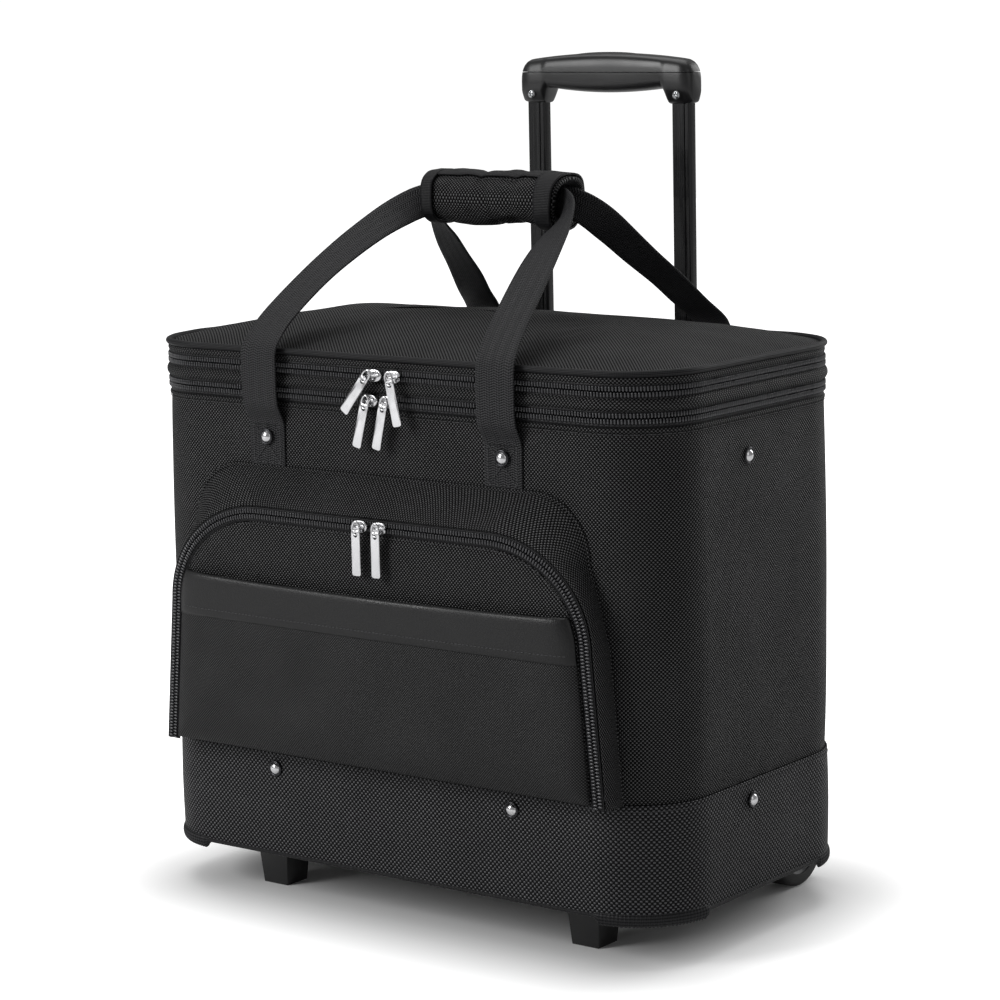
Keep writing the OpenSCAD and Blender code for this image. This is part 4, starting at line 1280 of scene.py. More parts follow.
def make_gusset():
    """Cloth between the front wall and the pocket's zip, with its welt, seams and stitches."""
    shares = np.linspace(0, 1, 13)
    outer, inner = backing_line(), pocket_line(0)
    flat = outer[:, None] * (1 - shares[None, :, None]) + inner[:, None] * shares[None, :, None]
    depth = np.interp(shares, [0, 0.06, 0.9, 1], [0.3 * MM, 1.6 * MM, 16.2 * MM, 16.9 * MM])
    x, z = flat[..., 0], flat[..., 1]
    wide = np.linalg.norm(outer - inner, axis=1)[:, None]
    waves = lattice_noise(x / 0.019, z / 0.06, 51) + 0.5 * lattice_noise(x / 0.009, z / 0.05, 52)
    belly = np.sin(np.pi * shares)[None]
    y = FRONT_Y - depth[None] - belly * (1.6 * MM + 0.8 * MM * waves) * np.clip(wide / 0.02, 0.1, 1)
    slope = unit(np.gradient(inner, axis=0))
    out = np.stack([slope[:, 1], -slope[:, 0]], -1)
    bulge = belly * np.clip(1.4 - wide / 0.012, 0, 1) * 1.8 * MM
    x, z = x + out[:, None, 0] * bulge, z + out[:, None, 1] * bulge
    grid = np.stack([x, y, z], -1)
    gusset = thick("pocket_gusset_cloth", grid, -1.0 * MM, strip_uv(grid))
    place(gusset, "bag", "ballistic_nylon", finish(ballistic_nylon), "pocket_gusset")

    welt = np.stack([outer[:, 0], np.full(len(outer), FRONT_Y - 1.1 * MM), outer[:, 1]], -1)
    roll = tube_along("pocket_welt", welt, 1.5 * MM)
    place(roll, "bag", "ballistic_nylon", finish(ballistic_nylon))
    for word, k in (("right", 49), ("left", len(outer) - 50)):
        seam = tube_along(f"gusset_seam_{word}", grid[k] + [0, -0.1 * MM, 0], 0.7 * MM)
        place(seam, "bag", "edge_binding", finish(tape))
    edge = grid[:, 1] + [0, -0.4 * MM, 0]
    line = thread_line("gusset_stitches", edge[26:-26], np.tile([0, -1.0, 0.3], (len(edge) - 52, 1)))
    place(line, "bag", "edge_binding", finish(sewing_thread))


def make_pocket_back():
    """Lining on the front wall, inside the pocket."""
    x, z, _ = arch_grid(POCKET_BASE, POCKET_TOP - 9 * MM, 9 * MM, 24, 40)
    y = np.full(x.shape, FRONT_Y - 2.4 * MM)
    back_wall = slab_of("pocket_inner_wall", np.stack([x, y, z], -1), np.stack([x, y + 1.6 * MM, z], -1),
                        np.stack([x, z], -1))
    place(back_wall, "bag", "lining_cloth", finish(lining_cloth))


def make_pocket_zip():
    """Tape and teeth of both halves of the pocket's zip."""
    zip_y = POCKET_Y - 0.9 * MM
    for word, a, b, side, body, node in (
        ("outer", 0.2 * MM, ZIP_INSET - 0.35 * MM, -1, "bag", "pocket_zip_outer_half"),
        ("inner", ZIP_INSET + 0.35 * MM, PANEL_INSET + 0.4 * MM, 1, "pocket_flap", "pocket_zip_inner_half"),
    ):
        front = arch_strip(a, b, zip_y)
        strip = slab_of(f"pocket_zip_{word}_tape", front, front + [0, 0.8 * MM, 0], strip_uv(front))
        place(strip, body, "zip_coil", finish(tape), node)
        line = pocket_line(ZIP_INSET)
        points = np.stack([line[:, 0], np.full(len(line), zip_y - 0.7 * MM), line[:, 1]], -1)
        teeth = teeth_row(f"pocket_zip_{word}_teeth", points, np.tile([0.0, -1, 0], (len(points), 1)), side,
                          0.5 if side > 0 else 1.0)
        place(teeth, body, "zip_coil", finish(zip_nylon))


def make_pocket_panel():
    """Crowned panel of the pocket, sewn to its zip."""
    x, z, reach = arch_grid(POCKET_BASE + 1 * MM, PANEL_TOP - 0.05 * MM, PANEL_INSET, 60)
    ripples = lattice_noise(x / 0.05, z / 0.03, 61) + 0.5 * lattice_noise(x / 0.02, z / 0.025, 62)
    full = 1 - np.exp(-reach / (5 * MM))
    y = POCKET_Y - 0.6 * MM - full * (2.6 * MM + 0.5 * MM * ripples)
    panel = slab_of("pocket_panel_cloth", np.stack([x, y, z], -1),
                    np.stack([x, np.full(x.shape, POCKET_Y), z], -1), np.stack([x, z], -1))
    place(panel, "pocket_flap", "ballistic_nylon", finish(ballistic_nylon), "pocket_panel")
    sewn = arch_strip(PANEL_INSET + 1.6 * MM, PANEL_INSET + 1.7 * MM, POCKET_Y - 1.7 * MM)[:, 0]
    line = thread_line("pocket_panel_stitches", sewn, np.tile([0.0, -1, 0], (len(sewn), 1)))
    place(line, "pocket_flap", "edge_binding", finish(sewing_thread))


def slip_surface(x, z, reach, proud):
    """Depth of the slip pocket's front: bellied, folded, and pulled in along its seams."""
    rise = (z - POCKET_BASE) / (TRIM_TOP - POCKET_BASE)
    base = 1 - np.exp(-np.minimum(reach, (z - POCKET_BASE) * 0.8) / (7 * MM))
    crown = 1.6 * MM * (1 - (x / 0.18) ** 2) * np.sin(np.pi * np.clip(rise, 0, 1) * 0.55)
    folds = lattice_noise(x / 0.055, z / 0.035, 71) + 0.6 * lattice_noise(x / 0.025, z / 0.03, 72)
    folds = folds * np.clip((TRIM_LOW - z) / 0.02 + 0.25, 0.25, 1)
    pull = lattice_noise(z / 0.012, x * 0, 73) * np.exp(-reach / 0.012)
    return POCKET_Y - 3.1 * MM - base * (5.4 * MM + crown + 0.7 * MM * folds + 0.5 * MM * pull) - proud


def make_slip_pocket():
    """Flat pocket of satin weave on the panel."""
    x, z, reach = arch_grid(POCKET_BASE + 0.5 * MM, TRIM_LOW + 4 * MM, PANEL_INSET + 1 * MM, 60, 110)
    y = slip_surface(x, z, reach, 0)
    slip = slab_of("slip_pocket_cloth", np.stack([x, y, z], -1), np.stack([x, y + 1.1 * MM, z], -1),
                   np.stack([x, z], -1))
    place(slip, "pocket_flap", "slip_cloth", finish(slip_satin), "slip_pocket_panel")


def make_trim():
    """Leatherette band along the slip pocket's mouth, which sags in its middle."""
    x, z, reach = arch_grid(TRIM_LOW, TRIM_TOP, PANEL_INSET + 0.8 * MM, 16, 110)
    share = (z - TRIM_LOW) / (TRIM_TOP - TRIM_LOW)
    sag = -2.8 * MM * (1 - (x / 0.18) ** 2) * share
    y = slip_surface(x, z, reach, 0.9 * MM)
    y = y + 0.9 * MM * smooth((share - 0.9) / 0.1) + 0.6 * MM * smooth((0.12 - share) / 0.12)
    front = np.stack([x, y, z + sag], -1)
    trim = slab_of("leatherette_trim", front, front + [0, 1.7 * MM, 0], np.stack([x, z], -1))
    place(trim, "pocket_flap", "leatherette", finish(leatherette), "trim_band")
    sewn_row = 3
    sewn = front[sewn_row, 2:-2] - [0, 0.1 * MM, 0]
    line = thread_line("trim_stitches", sewn, np.tile([0.0, -1, 0], (len(sewn), 1)), pitch=3.2 * MM)
    place(line, "pocket_flap", "edge_binding", finish(sewing_thread))


def make_pocket():
    """Arched front pocket: gusset, lining, zip, crowned panel, slip pocket and trim band."""
    make_gusset()
    make_pocket_back()
    make_pocket_zip()
    make_pocket_panel()
    make_slip_pocket()
    make_trim()


# Carry grip


def make_grip_edges(surface, turn, deep, tall):
    """Bound edges and stitches on the surface of the carry grip's wrap."""
    out = unit(np.stack([np.zeros(surface.shape[:2]), (surface[..., 1] - GRIP_Y) / deep**2,
                         (surface[..., 2] - GRIP_Z) / tall**2], -1))
    top = [k for k in range(len(turn)) if 88 <= math.degrees(turn[k]) <= 128]
    strip = surface[:, top] + out[:, top] * 0.9 * MM
    piece = thick("grip_top_binding", strip, 1.3 * MM, strip_uv(strip))
    place(piece, "handle_front", "edge_binding", finish(tape))
    loop = np.append(np.arange(len(turn)), 0)
    for word, rows in (("left", slice(0, 6)), ("right", slice(-9, None))):
        band = surface[rows][:, loop] + out[rows][:, loop] * 1.0 * MM
        piece = thick(f"grip_{word}_binding", band, 1.5 * MM, strip_uv(band))
        place(piece, "handle_front", "edge_binding", finish(tape))
    k = top[-1] + 1
    line = thread_line("grip_stitches", surface[8:-11, k] + out[8:-11, k] * 0.3 * MM, out[8:-11, k])
    place(line, "handle_front", "edge_binding", finish(sewing_thread))


def make_grip():
    """Padded wrap of the carry grip: a hollow roll of cloth on foam, with its bound edges and creases."""
    half = (GRIP_HIGH.x - GRIP_LOW.x) / 2
    deep, tall = (GRIP_HIGH.y - GRIP_LOW.y) / 2, (GRIP_HIGH.z - GRIP_LOW.z) / 2
    turn = np.linspace(0, 2 * math.pi, 56, endpoint=False)
    x = np.linspace(-half + 1.5 * MM, half - 1.5 * MM, 60)
    ends = np.array([[-9, 0.6], [-3, 0.72], [-0.6, 0.8], [0, 0.88], [-0.5, 0.96]])
    x_all = np.concatenate([-half - ends[:, 0] * MM, x, half + ends[::-1, 0] * MM])
    grow = np.concatenate([ends[:, 1], np.ones(len(x)), ends[::-1, 1]])[:, None]
    run, t = x_all[:, None], turn[None]
    open_share = smooth((run - half + 24 * MM) / (24 * MM))
    crease = -1.5 * MM * np.exp(-((run + 3 * MM + 7 * MM * np.sin(t)) / (3.2 * MM)) ** 2)
    crease = crease - 0.9 * MM * np.exp(-((run - 25 * MM - 6 * MM * np.cos(t)) / (4 * MM)) ** 2)
    folds = 0.8 * MM * lattice_noise(run / 0.016, t * 1.9, 81)
    folds = folds + 0.3 * MM * lattice_noise(run / 0.007, t * 3.0, 82)
    swell = (crease + folds) * (grow > 0.9)
    power = 0.74
    y = np.sign(np.cos(t)) * np.abs(np.cos(t)) ** power * (deep + 1.5 * MM * open_share)
    z = np.sign(np.sin(t)) * np.abs(np.sin(t)) ** power * (tall - 1.2 * MM * (np.sin(t) > 0) * open_share)
    size = grow + swell / tall
    wavy = 1.3 * MM * np.sin(run / 0.011) * (np.sin(t) < -0.6)
    slant = 3.5 * MM * open_share * np.sin(t)
    grid = np.stack([run + slant + 0 * y, GRIP_Y + y * size, GRIP_Z + z * size + wavy], -1)
    around_ = np.linspace(0, 2 * (deep + tall) * 1.65, len(turn) + 1)
    uv = np.stack(np.meshgrid(x_all, around_, indexing="ij"), -1)
    wrap = skin("carry_grip_wrap", grid, uv, wrap_j=True)
    weights = [1.0 if abs(v.co.x) > half - 4 * MM else 0.0 for v in wrap.data.vertices]
    puffed(wrap, pinned(wrap, weights), 0.5, 1.2 * MM)
    place(wrap, "handle_front", "grip_cloth", finish(ballistic_nylon), "grip_wrap")
    # Faces inside the grip's open ends take the lining darkened as painted shade.
    wrap.data.materials.append(finish(painted_shade_lining))
    for face in wrap.data.polygons:
        inside = math.hypot((face.center.y - GRIP_Y) / deep, (face.center.z - GRIP_Z) / tall) < 0.79
        if inside and abs(face.center.x) > half - 13 * MM:
            face.material_index = 1
    make_grip_edges(grid[len(ends):-len(ends)], turn, deep, tall)


# Zip sliders and their pull tabs


def ring_faces(n, m):
    """Faces of a net of n by m points that wraps round both ways."""
    return [[i * m + j, ((i + 1) % n) * m + j, ((i + 1) % n) * m + (j + 1) % m, i * m + (j + 1) % m]
            for i in range(n) for j in range(m)]


def bar_with_hole(name, low, high, half_w, hole, thickness, sides=40):
    """Flat bar that hangs down from the origin, round at its end, with an eye near its top."""
    turn = np.linspace(0, 2 * math.pi, sides, endpoint=False)
    eye = np.stack([hole * np.cos(turn), high - half_w + hole * np.sin(turn)], -1)
    reach = np.stack([np.cos(turn), np.sin(turn)], -1)
    scale = half_w / np.maximum(np.abs(reach[:, 0]) ** 5 + np.abs(reach[:, 1]) ** 5, 1e-9) ** 0.2
    outer = reach * scale[:, None]
    outer[:, 1] = np.where(outer[:, 1] < 0, low + half_w + outer[:, 1], high - half_w + outer[:, 1])
    rings = []
    for flat, y in ((eye, -0.4), (eye, 0.4), (outer, 0.3), (outer, -0.3)):
        rings.append(np.column_stack([flat[:, 0], np.full(sides, y * thickness), flat[:, 1]]))
    mid_front = eye + (outer - eye) * 0.85
    rings.insert(2, np.column_stack([mid_front[:, 0], np.full(sides, 0.5 * thickness), mid_front[:, 1]]))
    rings.append(np.column_stack([mid_front[:, 0], np.full(sides, -0.5 * thickness), mid_front[:, 1]]))
    grid = np.stack(rings, 1)
    return sharpened(solid(name, grid.reshape(-1, 3), ring_faces(*grid.shape[:2])), 50)


def closed_cord(name, points, radius, sides=10):
    """A round wire bent into a closed loop in an upright plane."""
    along = unit(np.roll(points, -1, 0) - np.roll(points, 1, 0))
    side = unit(np.cross(along, [0, 1, 0]))
    turn = np.linspace(0, 2 * math.pi, sides, endpoint=False)
    up = np.array([0, 1.0, 0])
    grid = (points[:, None] + side[:, None] * np.cos(turn)[None, :, None] * radius
            + up * np.sin(turn)[None, :, None] * radius)
    return solid(name, grid.reshape(-1, 3), ring_faces(*grid.shape[:2]))


def slider(name, low, high, way):
    """Cast body of a slider: a plate with two lobes and a notch on one side, a web and a bail."""
    face_y = high.y - 2.4 * MM
    x, z = (low.x + high.x) / 2, (low.z + high.z) / 2
    turn = np.linspace(0, 2 * math.pi, 48, endpoint=False)
    from_notch = np.angle(np.exp(1j * (turn - (0 if way > 0 else math.pi))))
    lobes = 4.9 * MM * (0.86 + 0.14 * np.abs(np.cos(turn))) - 0.9 * MM * np.exp(-(from_notch / 0.35) ** 2)
    outline = np.stack([x + 1.36 * lobes * np.cos(turn), z + lobes * np.sin(turn)], -1)
    plate = rounded(extruded("plate", outline, face_y, face_y + 1.5 * MM), 0.5 * MM, 2)
    across, tall = 2 * MM, 2.5 * MM
    web = extruded("web", [(x - across, z - tall), (x + across, z - tall), (x + across, z + tall),
                           (x - across, z + tall)], face_y + 1.4 * MM, high.y)
    arch = np.radians(np.linspace(0, 180, 15))
    reach = face_y - low.y - 0.9 * MM
    bail_y = face_y - reach * np.sin(arch) ** 0.8 + 0.4 * MM
    bail = np.column_stack([x + 4.6 * MM * np.cos(arch), bail_y, np.full(len(arch), z)])
    return joined(name, [plate, web, tube_along("bail", bail, 0.85 * MM, 10, 1.5)])


def pull_tab(name, joint):
    """Link and flat tab of a slider, hung from their pivot with the lean of their joint."""
    ring = np.radians(np.linspace(0, 360, 33))[:-1]
    link = np.column_stack([2.9 * MM * np.cos(ring), np.full(len(ring), -0.2 * MM),
                            -3.6 * MM + 4.6 * MM * np.sin(ring)])
    link = closed_cord("link", link, 0.75 * MM)
    tab = bar_with_hole("tab", -36.5 * MM, -4.6 * MM, 3.7 * MM, 1.7 * MM, 1.6 * MM)
    lean = math.atan2(-joint["axis"][2], -joint["axis"][0])
    pull = joined(name, [link, tab])
    pull.data.transform(Matrix.Translation(Vector(joint["pos_m"])) @ Matrix.Rotation(-lean, 4, "Y"))
    return pull


def make_sliders():
    """Cast sliders with two lobes and a bail, each with a link and a flat pull tab."""
    joints = {joint["name"]: joint for joint in frame["joints"]}
    for group in ("upper", "lower", "pocket"):
        for side, way in (("left", -1), ("right", 1)):
            node, puller = f"slider_{group}_{side}", f"puller_{group}_{side}"
            body = slider(f"zip_slider_{group}_{side}", *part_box(node), way)
            place(body, node, "chrome", finish(chrome), node)
            pull = pull_tab(f"pull_tab_{group}_{side}", joints[puller + "_lift"])
            place(pull, puller, "chrome", finish(chrome), puller)


# Trolley


def grip_heights(x, low, high):
    """Height of the trolley grip's top and underside at places across it."""
    half = high.x
    drop = high.z - 1.0 * MM
    top = drop - 5.5 * MM * (x / half) ** 2
    socket, bar = low.z, low.z + 11 * MM
    sag = 3 * MM * np.clip(1 - (x / (48 * MM)) ** 2, 0, 1)
    share = smooth((np.abs(x) - 51 * MM) / (5 * MM))
    return top, (bar - sag) * (1 - share) + socket * share


def parted(piece, z, keep_above):
    """Cuts a closed piece at a height and closes the cut."""
    work = bmesh.new()
    work.from_mesh(piece.data)
    geometry = work.verts[:] + work.edges[:] + work.faces[:]
    bmesh.ops.bisect_plane(work, geom=geometry, plane_co=(0, 0, z), plane_no=(0, 0, 1),
                           clear_inner=keep_above, clear_outer=not keep_above)
    bmesh.ops.holes_fill(work, edges=[e for e in work.edges if e.is_boundary], sides=0)
    bmesh.ops.recalc_face_normals(work, faces=work.faces)
    work.to_mesh(piece.data)
    work.free()
    return piece


def grip_block(name, low, high):
    """The whole trolley grip as one soft-cornered block."""
    half = high.x - 0.05 * MM
    ends = np.array([0, 0.25, 0.9, 2, 3.6, 5.8, 8.5]) * MM
    inner = np.linspace(-half + 11 * MM, half - 11 * MM, 120)
    x = np.concatenate([-half + ends, inner, (half - ends)[::-1]])
    near = np.clip((half - np.abs(x)) / (10 * MM), 0, 1)
    round_off = np.sqrt(np.clip(1 - (1 - near) ** 2, 0, 1))
    top, under = grip_heights(x, low, high)
    top = top - (1 - round_off) * 11 * MM
    under = under + (1 - round_off) * 2 * MM
    depth = (high.y - low.y) / 2 * (0.45 + 0.55 * round_off)
    turn = np.linspace(0, 2 * math.pi, 48, endpoint=False)
    y = np.sign(np.cos(turn)) * np.abs(np.cos(turn)) ** 0.58
    z = np.sign(np.sin(turn)) * np.abs(np.sin(turn)) ** 0.58
    middle, tall = (top + under) / 2, (top - under) / 2
    narrow = 1 - 0.22 * smooth((-z[None] - 0.2) / 0.7) * smooth((np.abs(x) - 50 * MM) / (5 * MM))[:, None]
    grid = np.stack([np.tile(x[:, None], (1, 48)), TUBE_Y + depth[:, None] * y[None] * narrow,
                     middle[:, None] + tall[:, None] * z[None]], -1)
    return skin(name, grid, np.stack([grid[..., 0], grid[..., 2]], -1)[:, [*range(48), 0]], wrap_j=True)


def make_release_button(low, high, split):
    """Lens-shaped button in the grip's top and the dark rim round it, painted shade for the gap, both clear
    of the lower shell.
    """
    u = np.linspace(-1, 1, 41)[:, None]
    v = np.linspace(-1, 1, 13)[None]
    for name, wide, tall, proud, make, body, node in (
        ("release_button_lens", 38 * MM, 5.2 * MM, 1.1 * MM, gloss_plastic, "release", "release_button"),
        # The rim's dark plastic is painted shade for the gap round the button.
        ("release_button_rim", 39.6 * MM, 6.2 * MM, 0.25 * MM, painted_gap_shade, "trolley_inner", None),
    ):
        half = tall * np.clip(1 - np.abs(u) ** 2.2, 0.02, 1)
        x = u * wide + 0 * v
        y = -4.6 * MM + half * v
        top, under = grip_heights(x, low, high)
        share = np.clip(np.abs(y) / (high.y - low.y) * 2, 0, 1)
        skin_z = (top + under) / 2 + (top - under) / 2 * (1 - share ** (1 / 0.58)) ** 0.58
        z = skin_z + proud * (1 - 0.55 * v**2) * np.sqrt(np.clip(1 - u**4, 0.05, 1))
        grid = np.stack([x, TUBE_Y + y, z], -1)
        lower = grid.copy()
        thinnest = np.minimum(split + 4.2 * MM, z - 0.8 * MM)
        lower[..., 2] = np.maximum(z - 3 * MM, thinnest)
        lens = slab_of(name, grid, lower, grid[..., :2])
        place(lens, body, "gloss_plastic", finish(make), *([node] if node else []))


def make_grip_screws(low):
    """Cross-headed screws that hold the grip to its tubes."""
    heads = []
    for side in (-1, 1):
        spot = (side * TUBE_X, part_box("grip_screws")[0].y + 0.3 * MM, low.z + 7 * MM)
        profile = [(0.9, 0.0), (0.85, 1.2), (0.6, 2.3), (0.2, 3.0), (-1.2, 3.0), (-1.2, 0.0)]
        head = lathe("head", [(a * MM, r * MM) for a, r in profile], spot, (0, -1, 0), 24)
        for dx, dz in ((1.7, 0.35), (0.35, 1.7)):
            x, y, z = spot
            cut(head, (x - dx * MM, y - 2 * MM, z - dz * MM), (x + dx * MM, y - 0.1 * MM, z + dz * MM))
        heads.append(head)
    place(joined("grip_screw_heads", heads), "trolley_inner", "steel", finish(steel), "grip_screws")


def make_trolley_grip():
    """Two moulded shells of the trolley grip, their screws and the lens-shaped release button."""
    low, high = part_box("grip_lower_shell")
    high = Vector((high.x, high.y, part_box("grip_upper_shell")[1].z + 1 * MM))
    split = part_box("grip_upper_shell")[0].z
    lower = parted(grip_block("trolley_grip_lower", low, high), split - 0.25 * MM, False)
    place(sharpened(lower), "trolley_inner", "moulded_plastic", finish(satin_plastic), "grip_lower_shell")
    upper = parted(grip_block("trolley_grip_upper", low, high), split + 0.25 * MM, True)
    place(sharpened(upper), "trolley_inner", "moulded_plastic", finish(satin_plastic), "grip_upper_shell")
    make_release_button(low, high, split)
    make_grip_screws(low)


def tube_outline(x, y, width, depth):
    """Section of a drawn tube: round corners, and a groove along its wide faces."""
    r, points = 2.2 * MM, []
    for cx, cy, start in ((1, 1, 0), (-1, 1, 90), (-1, -1, 180), (1, -1, 270)):
        for a in np.radians(np.linspace(start, start + 90, 5)):
            points.append((cx * (width / 2 - r) + r * math.cos(a), cy * (depth / 2 - r) + r * math.sin(a)))
        if start in (0, 180):
            side = 1 if start == 0 else -1
            for px, py in ((4.4, 0), (3.9, -0.9), (3.1, -0.9), (2.6, 0)):
                points.append((px * MM if side > 0 else (-px + 7.0) * MM, side * (depth / 2 + py * MM)))
    return [(x + px, y + py) for px, py in points]


def make_tubes():
    """Drawn tubes of the trolley, in three stages."""
    for node, body in (("trolley_inner_tubes", "trolley_inner"), ("trolley_middle_tubes", "trolley_middle"),
                       ("trolley_outer_tubes", "bag")):
        low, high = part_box(node)
        width, depth = 2 * (high.x - TUBE_X), high.y - low.y
        tubes = []
        for side in (-1, 1):
            outline = tube_outline(side * TUBE_X, TUBE_Y, width, depth)
            tubes.append(extruded("tube", outline, low.z, high.z, "Z"))
        pair = sharpened(joined(node + "_drawn", tubes), 28)
        place(pair, body, "anodised_tube", finish(anodised_tube), node)


def bevelled_copy(node, body, slot, material, width=0.8 * MM):
    """A CAD node's shape with its edges rounded, in place of the node."""
    mesh = frame["nodes"][node].data.copy()
    mesh.materials.clear()
    piece = new_object(node + "_moulded", mesh)
    work = bmesh.new()
    work.from_mesh(mesh)
    bmesh.ops.remove_doubles(work, verts=work.verts, dist=1e-6)
    bmesh.ops.dissolve_limit(work, angle_limit=math.radians(1), verts=work.verts, edges=work.edges)
    work.to_mesh(mesh)
    work.free()
    rounded(piece, width, 2, 30)
    sharpened(piece)
    return place(piece, body, slot, material, node)


def make_sleeve():
    """Cloth sleeve over the trolley's tubes, its bezel and its lower bracket."""
    low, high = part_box("trolley_sleeve")
    r = 7 * MM
    right = [(high.x, low.y + 0.3 * MM), (high.x, high.y - r)]
    right += [(high.x - r + r * math.cos(a), high.y - r + r * math.sin(a))
              for a in np.radians(range(15, 91, 15))]
    across = [(x, high.y) for x in np.linspace(high.x - 14 * MM, -high.x + 14 * MM, 40)]
    path = np.array(right + across + [(-x, y) for x, y in right[::-1]])
    heights = np.linspace(low.z, high.z, 70)
    out = unit(np.stack([np.gradient(path[:, 1]), -np.gradient(path[:, 0])], -1)) * -1
    waves = lattice_noise(path[:, None, 0] / 0.04, heights[None] / 0.05, 91)
    lift = (0.5 * MM * waves - 0.5 * MM) * np.sin(np.pi * (heights[None] - low.z) / (high.z - low.z))
    xy = path[:, None] + out[:, None] * lift[..., None]
    grid = np.concatenate([xy, np.tile(heights[None, :, None], (len(path), 1, 1))], -1)
    uv = np.stack(np.meshgrid(lengths(path), heights, indexing="ij"), -1)
    inner = np.concatenate([(path - out * 1.6 * MM)[:, None].repeat(len(heights), 1),
                            np.tile(heights[None, :, None], (len(path), 1, 1))], -1)
    cloth = slab_of("trolley_sleeve_cloth", grid, inner, uv)
    place(cloth, "bag", "ballistic_nylon", finish(ballistic_nylon), "trolley_sleeve")
    bevelled_copy("trolley_top_bezel", "bag", "moulded_plastic", finish(moulded_plastic))
    bevelled_copy("trolley_base_bracket", "bag", "moulded_plastic", finish(moulded_plastic), 1.2 * MM)


def make_running_gear():
    """Feet, wheels, wheel housings and the pan under the bag."""
    bevelled_copy("front_feet", "bag", "moulded_plastic", finish(moulded_plastic), 1.2 * MM)
    bevelled_copy("wheel_housings", "bag", "moulded_plastic", finish(moulded_plastic), 0.6 * MM)
    for side in ("left", "right"):
        low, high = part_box(f"wheel_{side}_tyre")
        centre, r, half = (low + high) / 2, (high.z - low.z) / 2, (high.x - low.x) / 2
        edge = [(math.cos(a), math.sin(a)) for a in np.radians(np.linspace(0, 90, 7))]
        tread = [(half - 3 * MM + 3 * MM * c, r - 3 * MM + 3 * MM * s) for c, s in edge]
        inner = r - 9 * MM + 0.02 * MM
        profile = [(half, inner), *tread, *[(-a, b) for a, b in tread[::-1]], (-half, inner), (half, inner)]
        tyre = lathe(f"wheel_{side}_tyre_moulded", profile, centre, (1, 0, 0), 72)
        place(sharpened(tyre, 40), f"wheel_{side}", "wheel_rubber", finish(tyre_rubber), f"wheel_{side}_tyre")
    dress(finish(wheel_plastic), "wheel_left_hub", "wheel_right_hub")
    dress(finish(moulded_plastic), "base_pan", "middle_tube_bushes", "inner_tube_bushes")
    dress(finish(steel), "base_screws", "wheel_axles", "button_spring", "release_rods")


def make_inside():
    """Lining and stiffening board inside the bag."""
    low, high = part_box("lining")
    inner_z = np.linspace(low.z + 1 * MM, high.z, 30)

    def offsets(s):
        folds = 0.5 * MM * lattice_noise(s[:, None] / 0.05, inner_z[None] / 0.06, 95)
        back = np.full((len(s), 2), -WALL_T - 0.1 * MM)
        return np.concatenate([-WALL_T - 1.1 * MM + folds, back], 1)

    heights = np.concatenate([inner_z, [high.z, low.z + 1 * MM]])
    walls = band_round("inner_lining", offsets, heights, step=9 * MM)
    cut_wheel_wells(walls)
    place(walls, "bag", "lining_cloth", finish(lining_cloth), "lining")
    base = disc_of(-WALL_T - 0.3 * MM, np.full(12, low.z + 1.0 * MM), np.linspace(0, 1, 12))
    flat = disc_of(-WALL_T - 0.3 * MM, np.full(12, low.z + 0.1 * MM), np.linspace(1, 0, 12))
    grid = np.concatenate([base, flat], 1)
    uv = grid[[*range(len(grid)), 0]][:, [*range(24), 0], :2]
    floor = skin("lining_floor", grid, uv, wrap_i=True, wrap_j=True)
    cut_wheel_wells(floor)
    place(floor, "bag", "lining_cloth", finish(lining_cloth))
    dress(finish(hardboard), "base_board")


# Stage


def make_floor():
    """White floor, which glows to the camera alone beyond a soft edge round the bag."""
    size = 6.0
    points = [(-size, -size, 0), (size, -size, 0), (size, size, 0), (-size, size, 0)]
    floor = solid("floor", points, [(0, 1, 2, 3)])
    material, tree, sockets = shader("matt_white_paper", srgb("#f4f4f4"), 0.9, **{
        "Specular IOR Level": 0.1, "Emission Color": (1, 1, 1, 1)})
    tone = add(tree, "ShaderNodeMapRange", None, {0: cloud(tree, 2), 3: 0.985, 4: 1.0})
    mixed = add(tree, "ShaderNodeMix", {"data_type": "RGBA"}, {
        0: tone, 6: srgb("#e8e8e8"), 7: srgb("#f4f4f4")}, out=2)
    tree.links.new(mixed, sockets["Base Color"])
    spot = add(tree, "ShaderNodeTexCoord", out=OBJECT_SPACE)
    spot = add(tree, "ShaderNodeVectorMath", {"operation": "ABSOLUTE"}, {0: spot})
    spot = add(tree, "ShaderNodeVectorMath", {"operation": "SUBTRACT"}, {0: spot, 1: (0.17, 0.09, 0)})
    spot = add(tree, "ShaderNodeVectorMath", {"operation": "MAXIMUM"}, {0: spot})
    away = add(tree, "ShaderNodeVectorMath", {"operation": "LENGTH"}, {0: spot}, out=1)
    # Painted light: beyond a soft edge round the bag the floor glows white to the camera alone, and the glow
    # fades towards the bag.
    glow = add(tree, "ShaderNodeMapRange", {"interpolation_type": "SMOOTHSTEP"}, {
        0: away, 1: 0.0, 2: 0.2, 3: 0.0, 4: 1.0})
    seen = add(tree, "ShaderNodeLightPath")
    glow = add(tree, "ShaderNodeMath", {"operation": "MULTIPLY"}, {0: glow, 1: seen})
    tree.links.new(glow, sockets["Emission Strength"])
    floor.data.materials.append(material)


def make_surround(scene):
    """White surround, brighter to the camera than as a light."""
    world = bpy.data.worlds.new("white_surround")
    scene.world = world
    world.use_nodes = True
    tree = world.node_tree
    seen = add(tree, "ShaderNodeLightPath")
    strength = add(tree, "ShaderNodeMapRange", None, {0: seen, 3: 0.25, 4: 1.05})
    background = tree.nodes["Background"]
    background.inputs["Color"].default_value = (1, 1, 1, 1)
    tree.links.new(strength, background.inputs["Strength"])


